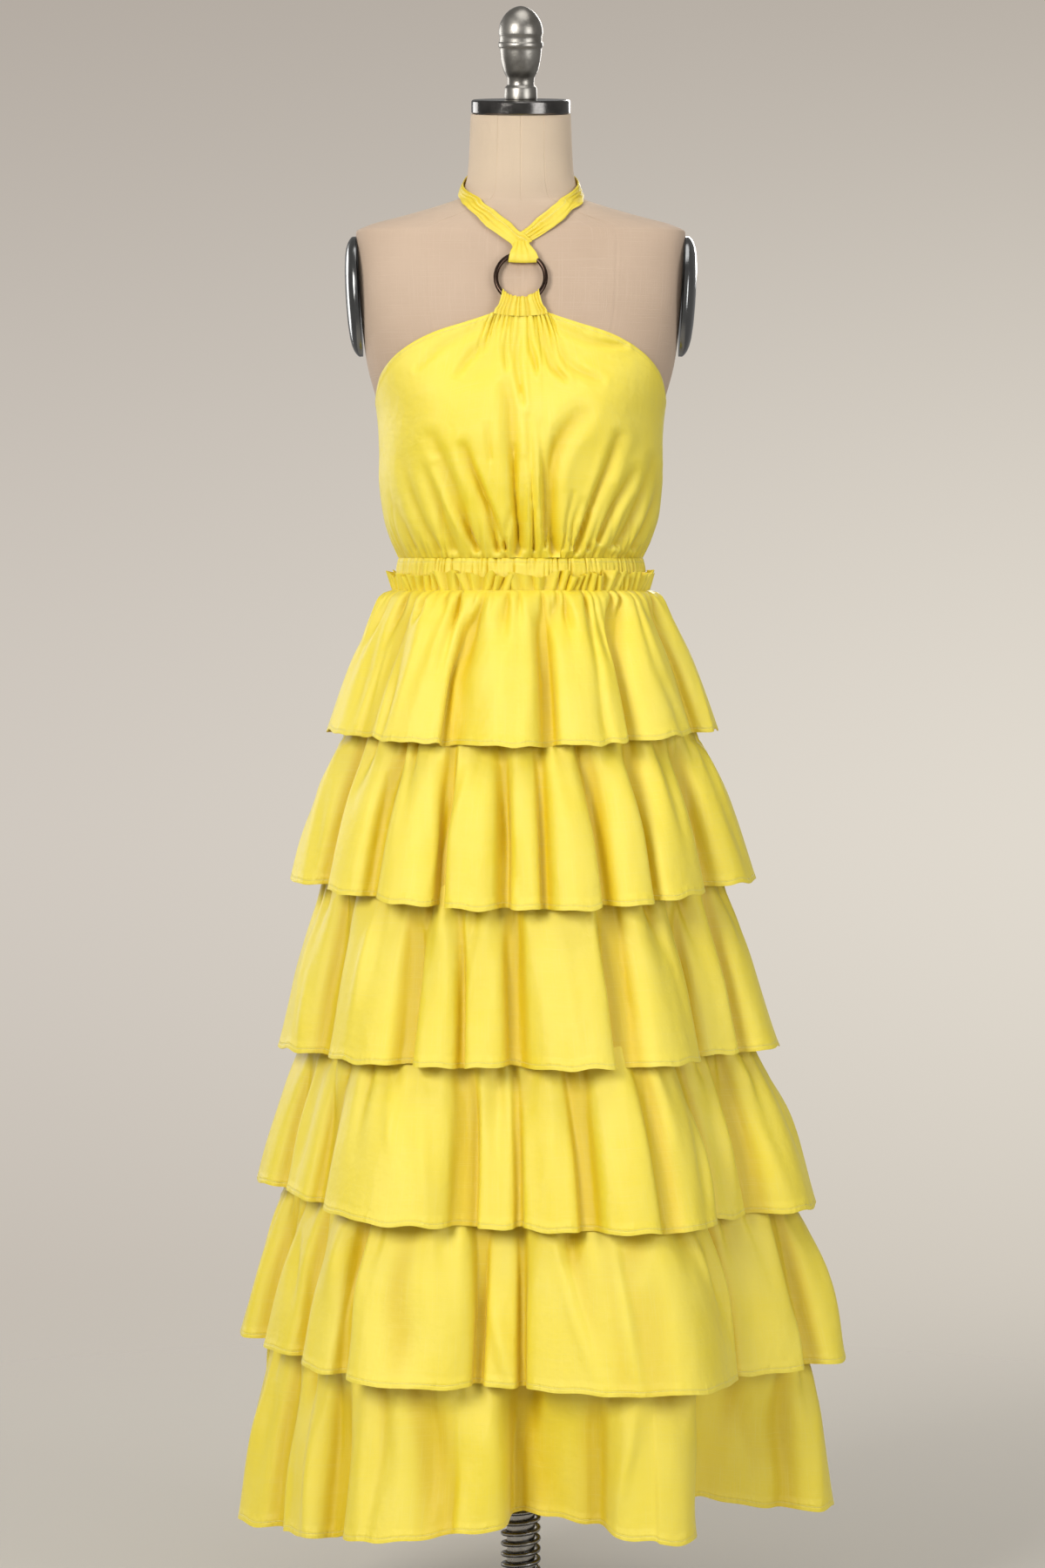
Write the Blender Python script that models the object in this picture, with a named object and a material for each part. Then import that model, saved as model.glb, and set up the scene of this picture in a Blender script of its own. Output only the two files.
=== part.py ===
"""Halter dress with six gathered tiers, worn by a limbless dress form on a round stand.

Every length is in millimetres and every angle in degrees, until solid() writes metres.
The stand's underside is at height 0 and its pole is the vertical axis. The front faces -Y,
and an azimuth is counted from the front towards the wearer's left, which is +X.
"""

import math
from collections import namedtuple

import bpy
import numpy as np

MM = 0.001
SEAM_GAP = 0.3
CLOTH = 1.5  # wall of one cloth panel

# Heights that the garment is built from
NECK_TOP = 1733.0
RING_HEIGHT = 1546.0
WAIST_TOP = 1240.0
WAIST_SEAM = 1204.0
FORM_BOTTOM = 962.0

Section = namedtuple("Section", "height half_width front back squareness centre tilt")
FORM_SECTIONS = [
    Section(FORM_BOTTOM, 140, 96, 104, 2.0, 0, 0),
    Section(985, 156, 108, 120, 2.0, 0, 0),
    Section(1040, 165, 115, 128, 2.0, 0, 0),
    Section(1130, 150, 107, 112, 2.0, 0, 0),
    Section(1232, 133, 95, 90, 2.1, 0, 0),
    Section(1318, 141, 104, 92, 2.2, 0, 0),
    Section(1400, 157, 114, 96, 2.3, 0, 0),
    Section(1463, 173, 104, 99, 2.6, 0, 0),
    Section(1530, 180, 86, 96, 2.9, 0, 0),
    Section(1583, 183, 69, 84, 2.9, 0, 0),
    Section(1603, 184, 62, 74, 2.8, 0, 0),
    Section(1611, 170, 59, 68, 2.6, 0, 1),
    Section(1622, 130, 56, 62, 2.4, -1, 2),
    Section(1633, 92, 53, 58, 2.2, -3, 3),
    Section(1641, 70, 50, 56, 2.0, -5, 4),
    Section(1650, 64, 49, 55, 2.0, -6, 5),
    Section(1668, 59, 49, 54, 2.0, -8, 5),
    Section(NECK_TOP, 55.5, 51, 51, 2.0, -19, 8),
]
FORM_COLUMNS = 36
BUST = {"height": 1400, "spread": 62, "azimuth": 33, "width": 24, "depth": 15}

# The underskirt that the tiers are sewn to, and the flare that they share below it
Flare = namedtuple("Flare", "height half_width half_depth shift flute_share")
SKIRT_FLARE = [
    Flare(WAIST_SEAM, 142, 105, 0, 0),
    Flare(1062, 180, 143, 0, 0),
    Flare(893, 211, 175, 2, 0.15),
    Flare(721, 231, 196, 8, 0.45),
    Flare(549, 261, 227, 16, 0.8),
    Flare(366, 282, 248, 18, 1.0),
    Flare(140, 300, 267, 18, 1.2),
]
UNDERSKIRT_WALL = 1.2
UNDERSKIRT_COLUMNS = 36
TIER_COLUMNS = 72

# The deep flutes that run down through the lower tiers
Flute = namedtuple("Flute", "azimuth out")
SKIRT_FLUTES = [
    Flute(-82, 6), Flute(-64, -8), Flute(-34, 12), Flute(-6, -38),
    Flute(26, 20), Flute(53, -40), Flute(76, 8), Flute(100, 6),
    Flute(124, -34), Flute(150, 10), Flute(176, -36), Flute(206, 12),
    Flute(236, -34), Flute(262, 8),
]

# Each tier: where its gathered top is sewn, its hem and how far that rises at the wearer's right
# and left sides, then the folds along it. A fold may lift the hem by its own rise.
Tier = namedtuple(
    "Tier", "top hem right_rise left_rise back_folds back_crest back_valley front_folds"
)
Fold = namedtuple("Fold", "azimuth out rise", defaults=(0,))
TIERS = {
    "tier_1": Tier(1204, 1036, 12, 12, 7, 36, 15, [
        Fold(-88, 24), Fold(-68, 37), Fold(-50, 24), Fold(-33, 38), Fold(-18, 15),
        Fold(-6, 38), Fold(8, 14), Fold(19, 37), Fold(33, 15), Fold(46, 37),
        Fold(62, 18), Fold(82, 38),
    ]),
    "tier_2": Tier(1062, 861, 20, 20, 8, 46, 17, [
        Fold(-76, 48), Fold(-63, 20), Fold(-52, 42), Fold(-43, 22), Fold(-32, 47),
        Fold(-22, 16), Fold(-13, 46), Fold(-4.5, 18), Fold(1, 40), Fold(5.5, 22),
        Fold(12, 46), Fold(21.5, 16), Fold(29, 44), Fold(34.5, 24), Fold(43, 46),
        Fold(59, 17), Fold(80, 48),
    ]),
    "tier_3": Tier(893, 691, 2, 2, 8, 44, 17, [
        Fold(-76, 46), Fold(-59, 24), Fold(-45, 40), Fold(-30, 16), Fold(-22.5, 38),
        Fold(-17, 20), Fold(-12, 44), Fold(-4, 17), Fold(8, 44), Fold(23, 16),
        Fold(37, 44), Fold(49, 19), Fold(57, 36), Fold(65, 18), Fold(80, 44),
    ]),
    "tier_4": Tier(721, 518, 22, -5, 8, 46, 18, [
        Fold(-82, 44), Fold(-73, 24), Fold(-64, 40), Fold(-56, 22), Fold(-38, 46),
        Fold(-15, 17), Fold(-9, 38), Fold(-4, 24), Fold(1, 42), Fold(12, 17),
        Fold(20, 40), Fold(27, 26), Fold(37, 42), Fold(46, 22), Fold(52, 34),
        Fold(61, 18), Fold(82, 44),
    ]),
    "tier_5": Tier(549, 348, 18, -11, 8, 48, 18, [
        Fold(-84, 46), Fold(-75, 22), Fold(-66, 44), Fold(-57, 20), Fold(-49, 42),
        Fold(-41, 20), Fold(-33, 44), Fold(-21, 46), Fold(-13.5, 17), Fold(-8, 32),
        Fold(-3.5, 18), Fold(3, 44), Fold(19, 36), Fold(42, 46), Fold(50, 24),
        Fold(60, 42), Fold(73, 18), Fold(88, 56),
    ]),
    "tier_6": Tier(376, 186, -30, -18, 8, 30, 2, [
        Fold(-80, 32), Fold(-68, 13), Fold(-56, 22), Fold(-48, -4), Fold(-26, 18, 3),
        Fold(-20, 14, 3), Fold(-13, 32, 8), Fold(-6, -28, 14), Fold(6, -22, 12),
        Fold(14, -26, 12), Fold(19, 8, 3), Fold(27, 12), Fold(38, -20, 12),
        Fold(54, -36, 22), Fold(71, -24, 8), Fold(88, 30),
    ]),
}
TIER_ROWS = [(0.0, 0.0), (0.12, 0.25), (0.52, 0.64), (1.0, 1.0)]  # share down, share out
TIER_TOP_GAP = 0.6

FRILL = {"waves": 31, "low": 1204.4, "high": 1225.0, "flare": 9.0, "wave": 6.0, "wall": 1.2}
CASING = {"inner": 2.0, "outer": 5.0, "columns": 72, "gather": 1.2}

# The bodice: its gathered top edge, and how far it stands off the form
Edge = namedtuple("Edge", "across azimuth height")
SIDE_SEAM = 95.0
FRONT_TOP_EDGE = [
    Edge(0.0, 0.0, 1516.2), Edge(0.09, 1.2, 1518.0), Edge(0.18, 2.5, 1521.6),
    Edge(0.23, 3.6, 1519), Edge(0.28, 4.6, 1512), Edge(0.34, 6.7, 1507), Edge(0.42, 12.6, 1500),
    Edge(0.55, 25, 1487), Edge(0.7, 42.5, 1468), Edge(0.82, 59.5, 1445),
    Edge(0.92, 75, 1422), Edge(1.0, SIDE_SEAM, 1404),
]
BACK_TOP_EDGE = [Edge(0.0, SIDE_SEAM, 1402), Edge(0.5, 130, 1384), Edge(1.0, 180, 1374)]
Ease = namedtuple("Ease", "height out")
BODICE_EASE = [
    Ease(WAIST_TOP, 4), Ease(1260, 10), Ease(1285, 15), Ease(1320, 17),
    Ease(1360, 12), Ease(1407, 3.2), Ease(1460, 2.6), Ease(1500, 3.4), Ease(1512, 4.6),
]
BODICE_COLUMNS = 44
BODICE_ROWS = 7
BACK_COLUMNS = 26
BACK_ROWS = 3
Gather = namedtuple("Gather", "waist_across top_across start end depth width")
BODICE_GATHERS = [
    Gather(-0.62, -0.74, 0.0, 0.55, 4, 0.045), Gather(-0.47, -0.58, 0.0, 0.62, 5, 0.045),
    Gather(-0.33, -0.40, 0.0, 0.60, 5, 0.045), Gather(-0.19, -0.22, 0.0, 0.66, 5, 0.045),
    Gather(-0.06, -0.06, 0.0, 1.0, 7, 0.045), Gather(0.06, 0.05, 0.0, 1.0, 6, 0.04),
    Gather(0.19, 0.20, 0.0, 1.0, 5, 0.045), Gather(0.32, 0.42, 0.0, 0.60, 5, 0.045),
    Gather(0.45, 0.58, 0.0, 0.66, 6, 0.045), Gather(0.60, 0.76, 0.0, 0.62, 5, 0.045),
    Gather(0.75, 0.88, 0.0, 0.55, 4, 0.045), Gather(-0.78, -0.88, 0.0, 0.5, 3, 0.045),
    Gather(-0.2, -0.2, 0.55, 1.0, 4, 0.05), Gather(0.36, 0.26, 0.62, 1.0, 4, 0.06),
]

# The ring at the breastbone and the strap round the neck
RING = {"radius": 27.3, "tube": 2.7, "lift": 6.6, "segments": 28, "sides": 6}
SLEEVE = {"inner": 3.3, "outer": 4.9, "gather": 0.7, "sides": 6}
Station = namedtuple("Station", "upper_x upper_height lower_x lower_height lift")
Around = namedtuple("Around", "azimuth upper_height lower_height lift")
STRAP_WALL = 1.8
STRAP_BACK = [
    Around(180, 1676, 1657, 2.0), Around(150, 1675, 1656, 2.0),
    Around(122, 1671, 1652, 2.2), Around(104, 1665, 1648, 2.6),
]
RIGHT_STRAP_FRONT = [
    Station(61, 1659, 69, 1646, 3.0), Station(44, 1641, 58, 1630, 3.4),
    Station(26.5, 1624, 44.5, 1615, 3.8), Station(10, 1609, 27, 1598, 4.2),
    Station(-5, 1595, 10, 1585, 5.2), Station(-14, 1584, 12, 1582, 6.0),
]
LEFT_STRAP_FRONT = [
    Station(60.5, 1659, 67, 1643, 3.2), Station(46, 1643, 53, 1625, 4.4),
    Station(31, 1628, 37, 1606, 3.6), Station(16, 1614, 22, 1595, 1.9),
    Station(2, 1600, 8, 1587, 1.4), Station(-5, 1594, 2, 1584, 1.3),
]

# The form's hardware and its stand
NECK_CAP = {"radius": 55.0, "thick": 15.5, "bevel": 1.2}
Turned = namedtuple("Turned", "height radius")
FINIAL_PROFILE = [
    Turned(0.0, 18.0), Turned(3, 18.4), Turned(12, 17.8), Turned(15.5, 15.2),
    Turned(20, 15.2), Turned(24, 15.4), Turned(30, 18.4), Turned(38, 20.8), Turned(48, 22.6),
    Turned(56, 23.2), Turned(58.5, 24.8), Turned(62, 24.8), Turned(63.5, 23.6),
    Turned(70, 23.6), Turned(72.5, 24.6), Turned(80, 23.8), Turned(90, 19.4),
    Turned(97.5, 12.6), Turned(102, 0.0),
]
FINIAL_SEGMENTS = 18
ARM_PLATE = {"height": 1532.0, "half_tall": 67.0, "half_deep": 47.0, "offset": 180.6, "splay": 3.3}
POLE = {"radius": 16.0, "segments": 20}
SPRING = {"mean": 20.5, "wire": 2.6, "pitch": 12.0, "turns": 11, "steps": 9, "sides": 4}
COLLAR = {"radius": 25.0, "thick": 16.0}
BASE_PROFILE = [
    Turned(0.0, 227), Turned(4, 230), Turned(11, 230), Turned(17, 222),
    Turned(25, 120), Turned(36, 44), Turned(57, 32), Turned(60, 29),
]
BASE_SEGMENTS = 32


# Shared working functions

def clear_scene():
    for old in list(bpy.data.objects):
        bpy.data.objects.remove(old, do_unlink=True)


def finish(name, colour, roughness, metallic=0.0):
    made = bpy.data.materials.new(name)
    made.use_nodes = True
    shader = made.node_tree.nodes["Principled BSDF"]
    shader.inputs["Base Color"].default_value = (*colour, 1.0)
    shader.inputs["Roughness"].default_value = roughness
    shader.inputs["Metallic"].default_value = metallic
    return made


def solid(name, points, faces, material):
    mesh = bpy.data.meshes.new(name)
    mesh.from_pydata([tuple(float(v) * MM for v in p) for p in points], [], faces)
    mesh.materials.append(material)
    mesh.shade_smooth()
    mesh.set_sharp_from_angle(angle=math.radians(40))
    made = bpy.data.objects.new(name, mesh)
    bpy.context.scene.collection.objects.link(made)
    return made


def smooth_between(keys, values, at, period=None):
    """Values on a smooth curve through the keys, flat at each key, as a row of folds is."""
    keys, values, at = (np.asarray(x, float) for x in (keys, values, at))
    if period:
        keys = np.concatenate([keys, [keys[0] + period]])
        values = np.concatenate([values, [values[0]]])
        at = (at - keys[0]) % period + keys[0]
    found = np.clip(np.searchsorted(keys, at, side="right") - 1, 0, len(keys) - 2)
    share = np.clip((at - keys[found]) / (keys[found + 1] - keys[found]), 0, 1)
    share = share * share * (3 - 2 * share)
    return values[found] + (values[found + 1] - values[found]) * share


def column_of(rows, field):
    return [getattr(row, field) for row in rows]


def grid_normals(grid, around):
    """Outward unit normals of a grid of points, rows going down and columns towards +azimuth."""
    if around:
        across = np.roll(grid, -1, axis=1) - np.roll(grid, 1, axis=1)
    else:
        across = np.gradient(grid, axis=1)
    down = np.gradient(grid, axis=0)
    normals = np.cross(down, across)
    return normals / np.linalg.norm(normals, axis=2, keepdims=True)


def wall(name, inner, thick, material, around=True, level_top=True):
    """A closed wall from a grid of inner points, its rows from top to bottom.

    The skins' bottom edges lie at one height, and so do their top edges if level_top."""
    outer = inner + grid_normals(inner, around) * thick
    outer[-1, :, 2] = inner[-1, :, 2]
    if level_top:
        outer[0, :, 2] = inner[0, :, 2]
    rows, columns = inner.shape[:2]
    faces = []

    def at(layer, row, column):
        return (layer * rows + row) * columns + column % columns

    # Both skins are split along the same diagonal, the shorter one, so that they stay apart.
    spans = columns if around else columns - 1
    for row in range(rows - 1):
        for column in range(spans):
            a, b, c, d = (row, column), (row + 1, column), (row + 1, column + 1), (row, column + 1)
            place = [inner[i, j % columns] for i, j in (a, b, c, d)]
            if np.linalg.norm(place[0] - place[2]) <= np.linalg.norm(place[1] - place[3]):
                halves = [(a, b, c), (a, c, d)]
            else:
                halves = [(a, b, d), (b, c, d)]
            for half in halves:
                faces.append([at(0, *corner) for corner in half])
                faces.append([at(1, *corner) for corner in reversed(half)])
    for column in range(spans):
        faces.append([at(0, 0, column), at(0, 0, column + 1), at(1, 0, column + 1), at(1, 0, column)])
        low = rows - 1
        faces.append(
            [at(1, low, column), at(1, low, column + 1), at(0, low, column + 1), at(0, low, column)]
        )
    if not around:
        last = columns - 1
        for row in range(rows - 1):
            faces.append([at(0, row, 0), at(1, row, 0), at(1, row + 1, 0), at(0, row + 1, 0)])
            faces.append(
                [at(0, row, last), at(0, row + 1, last), at(1, row + 1, last), at(1, row, last)]
            )
    points = np.concatenate([inner.reshape(-1, 3), outer.reshape(-1, 3)])
    # The grid runs towards +azimuth as seen from outside, so the faces above point inwards.
    return solid(name, points, [face[::-1] for face in faces], material)


def stacked_rings(name, rings, material):
    """A closed body through rings of points, lowest first, with flat ends."""
    count = len(rings[0])
    faces = []
    for row in range(len(rings) - 1):
        for column in range(count):
            after = (column + 1) % count
            faces.append([
                row * count + column, row * count + after,
                (row + 1) * count + after, (row + 1) * count + column,
            ])
    faces.append(list(range(count))[::-1])
    faces.append([(len(rings) - 1) * count + column for column in range(count)])
    return solid(name, np.concatenate(rings), faces, material)


def turned(name, profile, segments, material):
    """A body of revolution about Z. A profile point of radius 0 closes the end with a fan."""
    points, starts = [], []
    for step in profile:
        starts.append(len(points))
        ring = 1 if step.radius == 0 else segments
        for i in range(ring):
            angle = 2 * math.pi * i / segments
            points.append((step.radius * math.cos(angle), step.radius * math.sin(angle), step.height))
    faces = []
    for row in range(len(profile) - 1):
        low, high = profile[row], profile[row + 1]
        for i in range(segments):
            j = (i + 1) % segments
            corners = [starts[row] + (i if low.radius else 0), starts[row] + (j if low.radius else 0)]
            corners += [starts[row + 1] + (j if high.radius else 0)]
            corners += [starts[row + 1] + (i if high.radius else 0)]
            faces.append(list(dict.fromkeys(corners)))
    for row, end in ((0, 1), (len(profile) - 1, -1)):
        if profile[row].radius:
            ring = [starts[row] + i for i in range(segments)]
            faces.append(ring[::-1] if end == 1 else ring)
    return solid(name, points, faces, material)


# The dress form's surface, which the bodice and straps are laid on

def form_measure(field, height):
    return np.interp(height, column_of(FORM_SECTIONS, "height"), column_of(FORM_SECTIONS, field))


def form_point(azimuth, height, out=0.0):
    """Points on the form's surface, or standing off it by out."""
    azimuth, height = np.broadcast_arrays(np.asarray(azimuth, float), np.asarray(height, float))
    side, fore = np.sin(np.radians(azimuth)), np.cos(np.radians(azimuth))
    power = 2.0 / form_measure("squareness", height)
    depth = np.where(fore >= 0, form_measure("front", height), form_measure("back", height))
    turn = (azimuth + 180) % 360 - 180
    bump = np.exp(-(((np.abs(turn) - BUST["azimuth"]) / BUST["width"]) ** 2))
    bump = bump * np.exp(-(((height - BUST["height"]) / BUST["spread"]) ** 2)) * BUST["depth"]
    x = (form_measure("half_width", height) + out) * np.sign(side) * np.abs(side) ** power
    y = -(depth + bump + out) * np.sign(fore) * np.abs(fore) ** power
    tilt = np.tan(np.radians(form_measure("tilt", height)))
    return np.stack([x, y + form_measure("centre", height), height + tilt * y], axis=-1)


def azimuth_at(x, height):
    """The azimuth of the point on the front of the form that lies at x."""
    share = np.clip(np.abs(x) / form_measure("half_width", height), 0, 1)
    turn = np.degrees(np.arcsin(share ** (form_measure("squareness", height) / 2)))
    return np.sign(x) * turn


def build_form(cloth, steel, dark_steel):
    columns = np.arange(FORM_COLUMNS) * 360 / FORM_COLUMNS
    rings = [form_point(columns, np.full(FORM_COLUMNS, s.height)) for s in FORM_SECTIONS]
    stacked_rings("form_torso", rings, cloth)

    lean = math.radians(FORM_SECTIONS[-1].tilt)
    base = form_point(0, NECK_TOP), form_point(180, NECK_TOP)
    middle = (base[0] + base[1]) / 2
    axis = np.array([0, -math.sin(lean), math.cos(lean)])
    radius, thick, bevel = NECK_CAP["radius"], NECK_CAP["thick"], NECK_CAP["bevel"]
    cap = turned("neck_cap", [
        Turned(0, radius - bevel), Turned(bevel, radius),
        Turned(thick - bevel, radius), Turned(thick, radius - bevel),
    ], 28, steel)
    finial = turned("finial", FINIAL_PROFILE, FINIAL_SEGMENTS, steel)
    for piece, up in ((cap, SEAM_GAP), (finial, SEAM_GAP * 2 + thick)):
        piece.location = [float(v) * MM for v in middle + axis * up]
        piece.rotation_euler = (lean, 0, 0)

    for side, name in ((-1, "armhole_plate_right"), (1, "armhole_plate_left")):
        tall, deep = ARM_PLATE["half_tall"], ARM_PLATE["half_deep"]
        rings = []
        for share, out in ((1.0, 0.0), (1.0, 4.5), (0.88, 10.5), (0.45, 14.5)):
            turn = np.radians(np.arange(22) * 360 / 22)
            rings.append(np.stack([
                np.full(22, out), deep * share * np.cos(turn), tall * share * np.sin(turn),
            ], axis=-1))
        plate = stacked_rings(name, rings, dark_steel)
        plate.location = (side * ARM_PLATE["offset"] * MM, -1 * MM, ARM_PLATE["height"] * MM)
        plate.rotation_euler = (0, math.radians(ARM_PLATE["splay"]), 0 if side > 0 else math.pi)


def build_stand(steel, iron):
    turned("stand_base", BASE_PROFILE, BASE_SEGMENTS, iron)
    low, high = BASE_PROFILE[-1].height + SEAM_GAP, FORM_BOTTOM - SEAM_GAP
    turned("pole", [Turned(low, POLE["radius"]), Turned(high, POLE["radius"])], POLE["segments"], steel)

    wire, turns, steps = SPRING["wire"], SPRING["turns"], SPRING["steps"]
    start = low + wire + SEAM_GAP
    rings = []
    for i in range(turns * steps + 1):
        angle = 2 * math.pi * i / steps
        radial = np.array([math.cos(angle), math.sin(angle), 0])
        centre = radial * SPRING["mean"] + [0, 0, start + SPRING["pitch"] * i / steps]
        ring = []
        for k in range(SPRING["sides"]):
            turn = 2 * math.pi * k / SPRING["sides"]
            ring.append(centre + radial * wire * math.cos(turn) + [0, 0, wire * math.sin(turn)])
        rings.append(np.array(ring[::-1]))
    stacked_rings("buffer_spring", rings, steel)

    seat = start + SPRING["pitch"] * turns + wire + SEAM_GAP
    bore = POLE["radius"] + SEAM_GAP
    outer, thick = COLLAR["radius"], COLLAR["thick"]
    turn = np.radians(np.arange(24) * 360 / 24)
    ring = np.stack([np.sin(turn), -np.cos(turn), np.zeros(24)], axis=-1)
    inner = np.stack([ring * bore + [0, 0, seat + thick], ring * bore + [0, 0, seat]])
    wall("spring_collar", inner, outer - bore, steel)


# The skirt

def flutes(azimuth):
    """How far the flutes stand out, straight between the underskirt's columns."""
    columns = np.arange(UNDERSKIRT_COLUMNS) * 360 / UNDERSKIRT_COLUMNS
    folds = column_of(SKIRT_FLUTES, "azimuth"), column_of(SKIRT_FLUTES, "out")
    return np.interp(azimuth, columns, smooth_between(*folds, columns, 360), period=360)


def skirt_point(azimuth, height, out):
    """Points that stand off the underskirt's outer face by out."""
    heights = column_of(SKIRT_FLARE, "height")[::-1]

    def measure(field):
        return np.interp(height, heights, column_of(SKIRT_FLARE, field)[::-1])

    out = out + flutes(azimuth) * measure("flute_share")
    turn = np.radians(azimuth)
    x = measure("shift") + (measure("half_width") + out) * np.sin(turn)
    y = -(measure("half_depth") + out) * np.cos(turn)
    return np.stack([x, y, np.broadcast_to(height, x.shape)], axis=-1)


def hem_folds(tier):
    """All folds round the hem: those at the front, and a loop of like ones behind."""
    front = list(tier.front_folds)
    first, last = front[-1].azimuth, front[0].azimuth + 360
    count = 2 * tier.back_folds - 1
    behind = []
    for i in range(1, count + 1):
        uneven = 2.2 * math.sin(2.4 * i + tier.top)
        azimuth = first + (last - first) * i / (count + 1) + uneven
        out = tier.back_valley if i % 2 else tier.back_crest - 3 * abs(uneven)
        behind.append(Fold(azimuth, out))
    return front + behind


def columns_through(folds):
    """Column azimuths at every crest and valley, the others sharing out the widest gaps."""
    starts = column_of(folds, "azimuth")
    gaps = np.diff(starts + [starts[0] + 360])
    parts = [1] * len(folds)
    while sum(parts) < TIER_COLUMNS:
        widest = max(range(len(folds)), key=lambda i: gaps[i] / parts[i])
        parts[widest] += 1
    found = []
    for start, gap, count in zip(starts, gaps, parts):
        found += [start + gap * k / count for k in range(count)]
    return np.array(found)


def build_tier(name, tier, cloth):
    """One tier: its top follows the underskirt's columns and its hem the crests and valleys."""
    folds = hem_folds(tier)
    at_hem = columns_through(folds)
    step = 360 / TIER_COLUMNS
    at_top = (np.arange(TIER_COLUMNS) + round(np.mean(at_hem / step - np.arange(TIER_COLUMNS)))) * step
    out, rise = (
        smooth_between(column_of(folds, "azimuth"), column_of(folds, field), at_hem, 360)
        for field in ("out", "rise")
    )
    side = np.sin(np.radians(at_hem))
    hem = tier.hem + rise + side ** 2 * np.where(side < 0, tier.right_rise, tier.left_rise)
    rows = []
    for down, share in TIER_ROWS:
        azimuth = at_top + (at_hem - at_top) * np.clip((share - 0.25) / 0.4, 0, 1)
        height = tier.top - (tier.top - hem) * down
        stand = out * np.where(out > 0, share, max(0.0, share - 0.25) / 0.75)
        rows.append(skirt_point(azimuth, height, TIER_TOP_GAP + share * CLOTH + stand))
    wall(name, np.stack(rows), CLOTH, cloth)


def build_underskirt(cloth):
    azimuth = np.arange(UNDERSKIRT_COLUMNS) * 360 / UNDERSKIRT_COLUMNS
    rows = [
        skirt_point(azimuth, np.full(len(azimuth), float(level.height)), -UNDERSKIRT_WALL)
        for level in SKIRT_FLARE[:-1]
    ]
    wall("underskirt", np.stack(rows), UNDERSKIRT_WALL, cloth)


# The waist

def build_waist(cloth):
    count = CASING["columns"]
    azimuth = np.arange(count) * 360 / count
    gather = np.where(np.arange(count) % 2, CASING["gather"], 0.0)
    inner = np.stack([
        form_point(azimuth, np.full(count, height), CASING["inner"] + gather)
        for height in (WAIST_TOP, WAIST_SEAM + SEAM_GAP)
    ])
    wall("waist_casing", inner, CASING["outer"] - CASING["inner"], cloth)

    count = FRILL["waves"] * 4
    azimuth = np.arange(count) * 360 / count
    wave = np.sin(np.radians(azimuth * FRILL["waves"]))
    bulge = 1 + 0.3 * np.sin(np.radians(azimuth * 5))
    rows = []
    for height, share in ((FRILL["high"], 1.0), (FRILL["low"], 0.0)):
        clear = CASING["outer"] + CASING["gather"] + SEAM_GAP
        out = clear + share * (FRILL["flare"] + FRILL["wave"] * wave * bulge)
        rows.append(form_point(azimuth, np.full(count, height), out))
    wall("waist_frill", np.stack(rows), FRILL["wall"], cloth)


# The bodice

def bodice_ease(height):
    return np.interp(height, column_of(BODICE_EASE, "height"), column_of(BODICE_EASE, "out"))


def build_bodice(cloth):
    across = np.linspace(-1, 1, BODICE_COLUMNS + 1)
    ends = [column_of(FRONT_TOP_EDGE, field) for field in ("across", "azimuth", "height")]
    top_azimuth = np.sign(across) * np.interp(np.abs(across), ends[0], ends[1])
    top_height = np.interp(np.abs(across), ends[0], ends[2])
    waist = WAIST_TOP + SEAM_GAP
    rows = []
    for share in np.linspace(1, 0, BODICE_ROWS + 1):
        height = waist + (top_height - waist) * share
        lead = share ** 1.6
        azimuth = SIDE_SEAM * across * (1 - lead) + top_azimuth * lead
        out = bodice_ease(height)
        for fold in BODICE_GATHERS:
            along = (share - fold.start) / (fold.end - fold.start)
            if 0 <= along <= 1:
                at = fold.waist_across + (fold.top_across - fold.waist_across) * along
                rise = math.sin(math.pi * min(1.0, 0.25 + along)) if fold.end < 1 else 0.8
                out = out + fold.depth * rise * np.exp(-(((across - at) / fold.width) ** 2))
        rows.append(form_point(azimuth, height, out))
    wall("bodice_front", np.stack(rows), CLOTH, cloth, around=False)

    seam = math.degrees(2 * SEAM_GAP / form_measure("half_width", 1318))
    share = np.linspace(0, 1, BACK_COLUMNS // 2 + 1)
    half = [np.interp(share, column_of(BACK_TOP_EDGE, "across"), column_of(BACK_TOP_EDGE, f))
            for f in ("azimuth", "height")]
    azimuth = np.concatenate([half[0], 360 - half[0][-2::-1]])
    azimuth[0] += seam
    azimuth[-1] -= seam
    top = np.concatenate([half[1], half[1][-2::-1]])
    gather = np.where(np.arange(len(azimuth)) % 2, 2.0, 0.0)
    rows = []
    for share in np.linspace(1, 0, BACK_ROWS + 1):
        height = waist + (top - waist) * share
        out = bodice_ease(height) * 0.8 + 1.0 + gather * (1.0 if share in (0.0, 1.0) else 0.6)
        rows.append(form_point(azimuth, height, out))
    wall("bodice_back", np.stack(rows), CLOTH, cloth, around=False)


# The ring and the strap

def chest_frame():
    """The ring's centre, and its unit directions across, up the chest and out of it."""
    half = RING["radius"]
    low, high = form_point(0, RING_HEIGHT - half), form_point(0, RING_HEIGHT + half)
    up = (high - low) / np.linalg.norm(high - low)
    across = np.array([1.0, 0, 0])
    out = np.cross(across, up)
    return (low + high) / 2 + out * RING["lift"], across, up, out


def ring_tube(start, end, steps, radius_at, sides):
    """Rings of points round the metal ring's centreline, from one angle to another."""
    centre, across, up, out = chest_frame()
    found = []
    for i, angle in enumerate(np.radians(np.linspace(start, end, steps))):
        radial = across * math.sin(angle) - up * math.cos(angle)
        middle = centre + radial * RING["radius"]
        turn = 2 * np.pi * np.arange(sides) / sides
        spokes = np.outer(np.cos(turn), radial) + np.outer(np.sin(turn), out)
        found.append(middle + spokes * radius_at(i))
    return np.stack(found)


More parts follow.
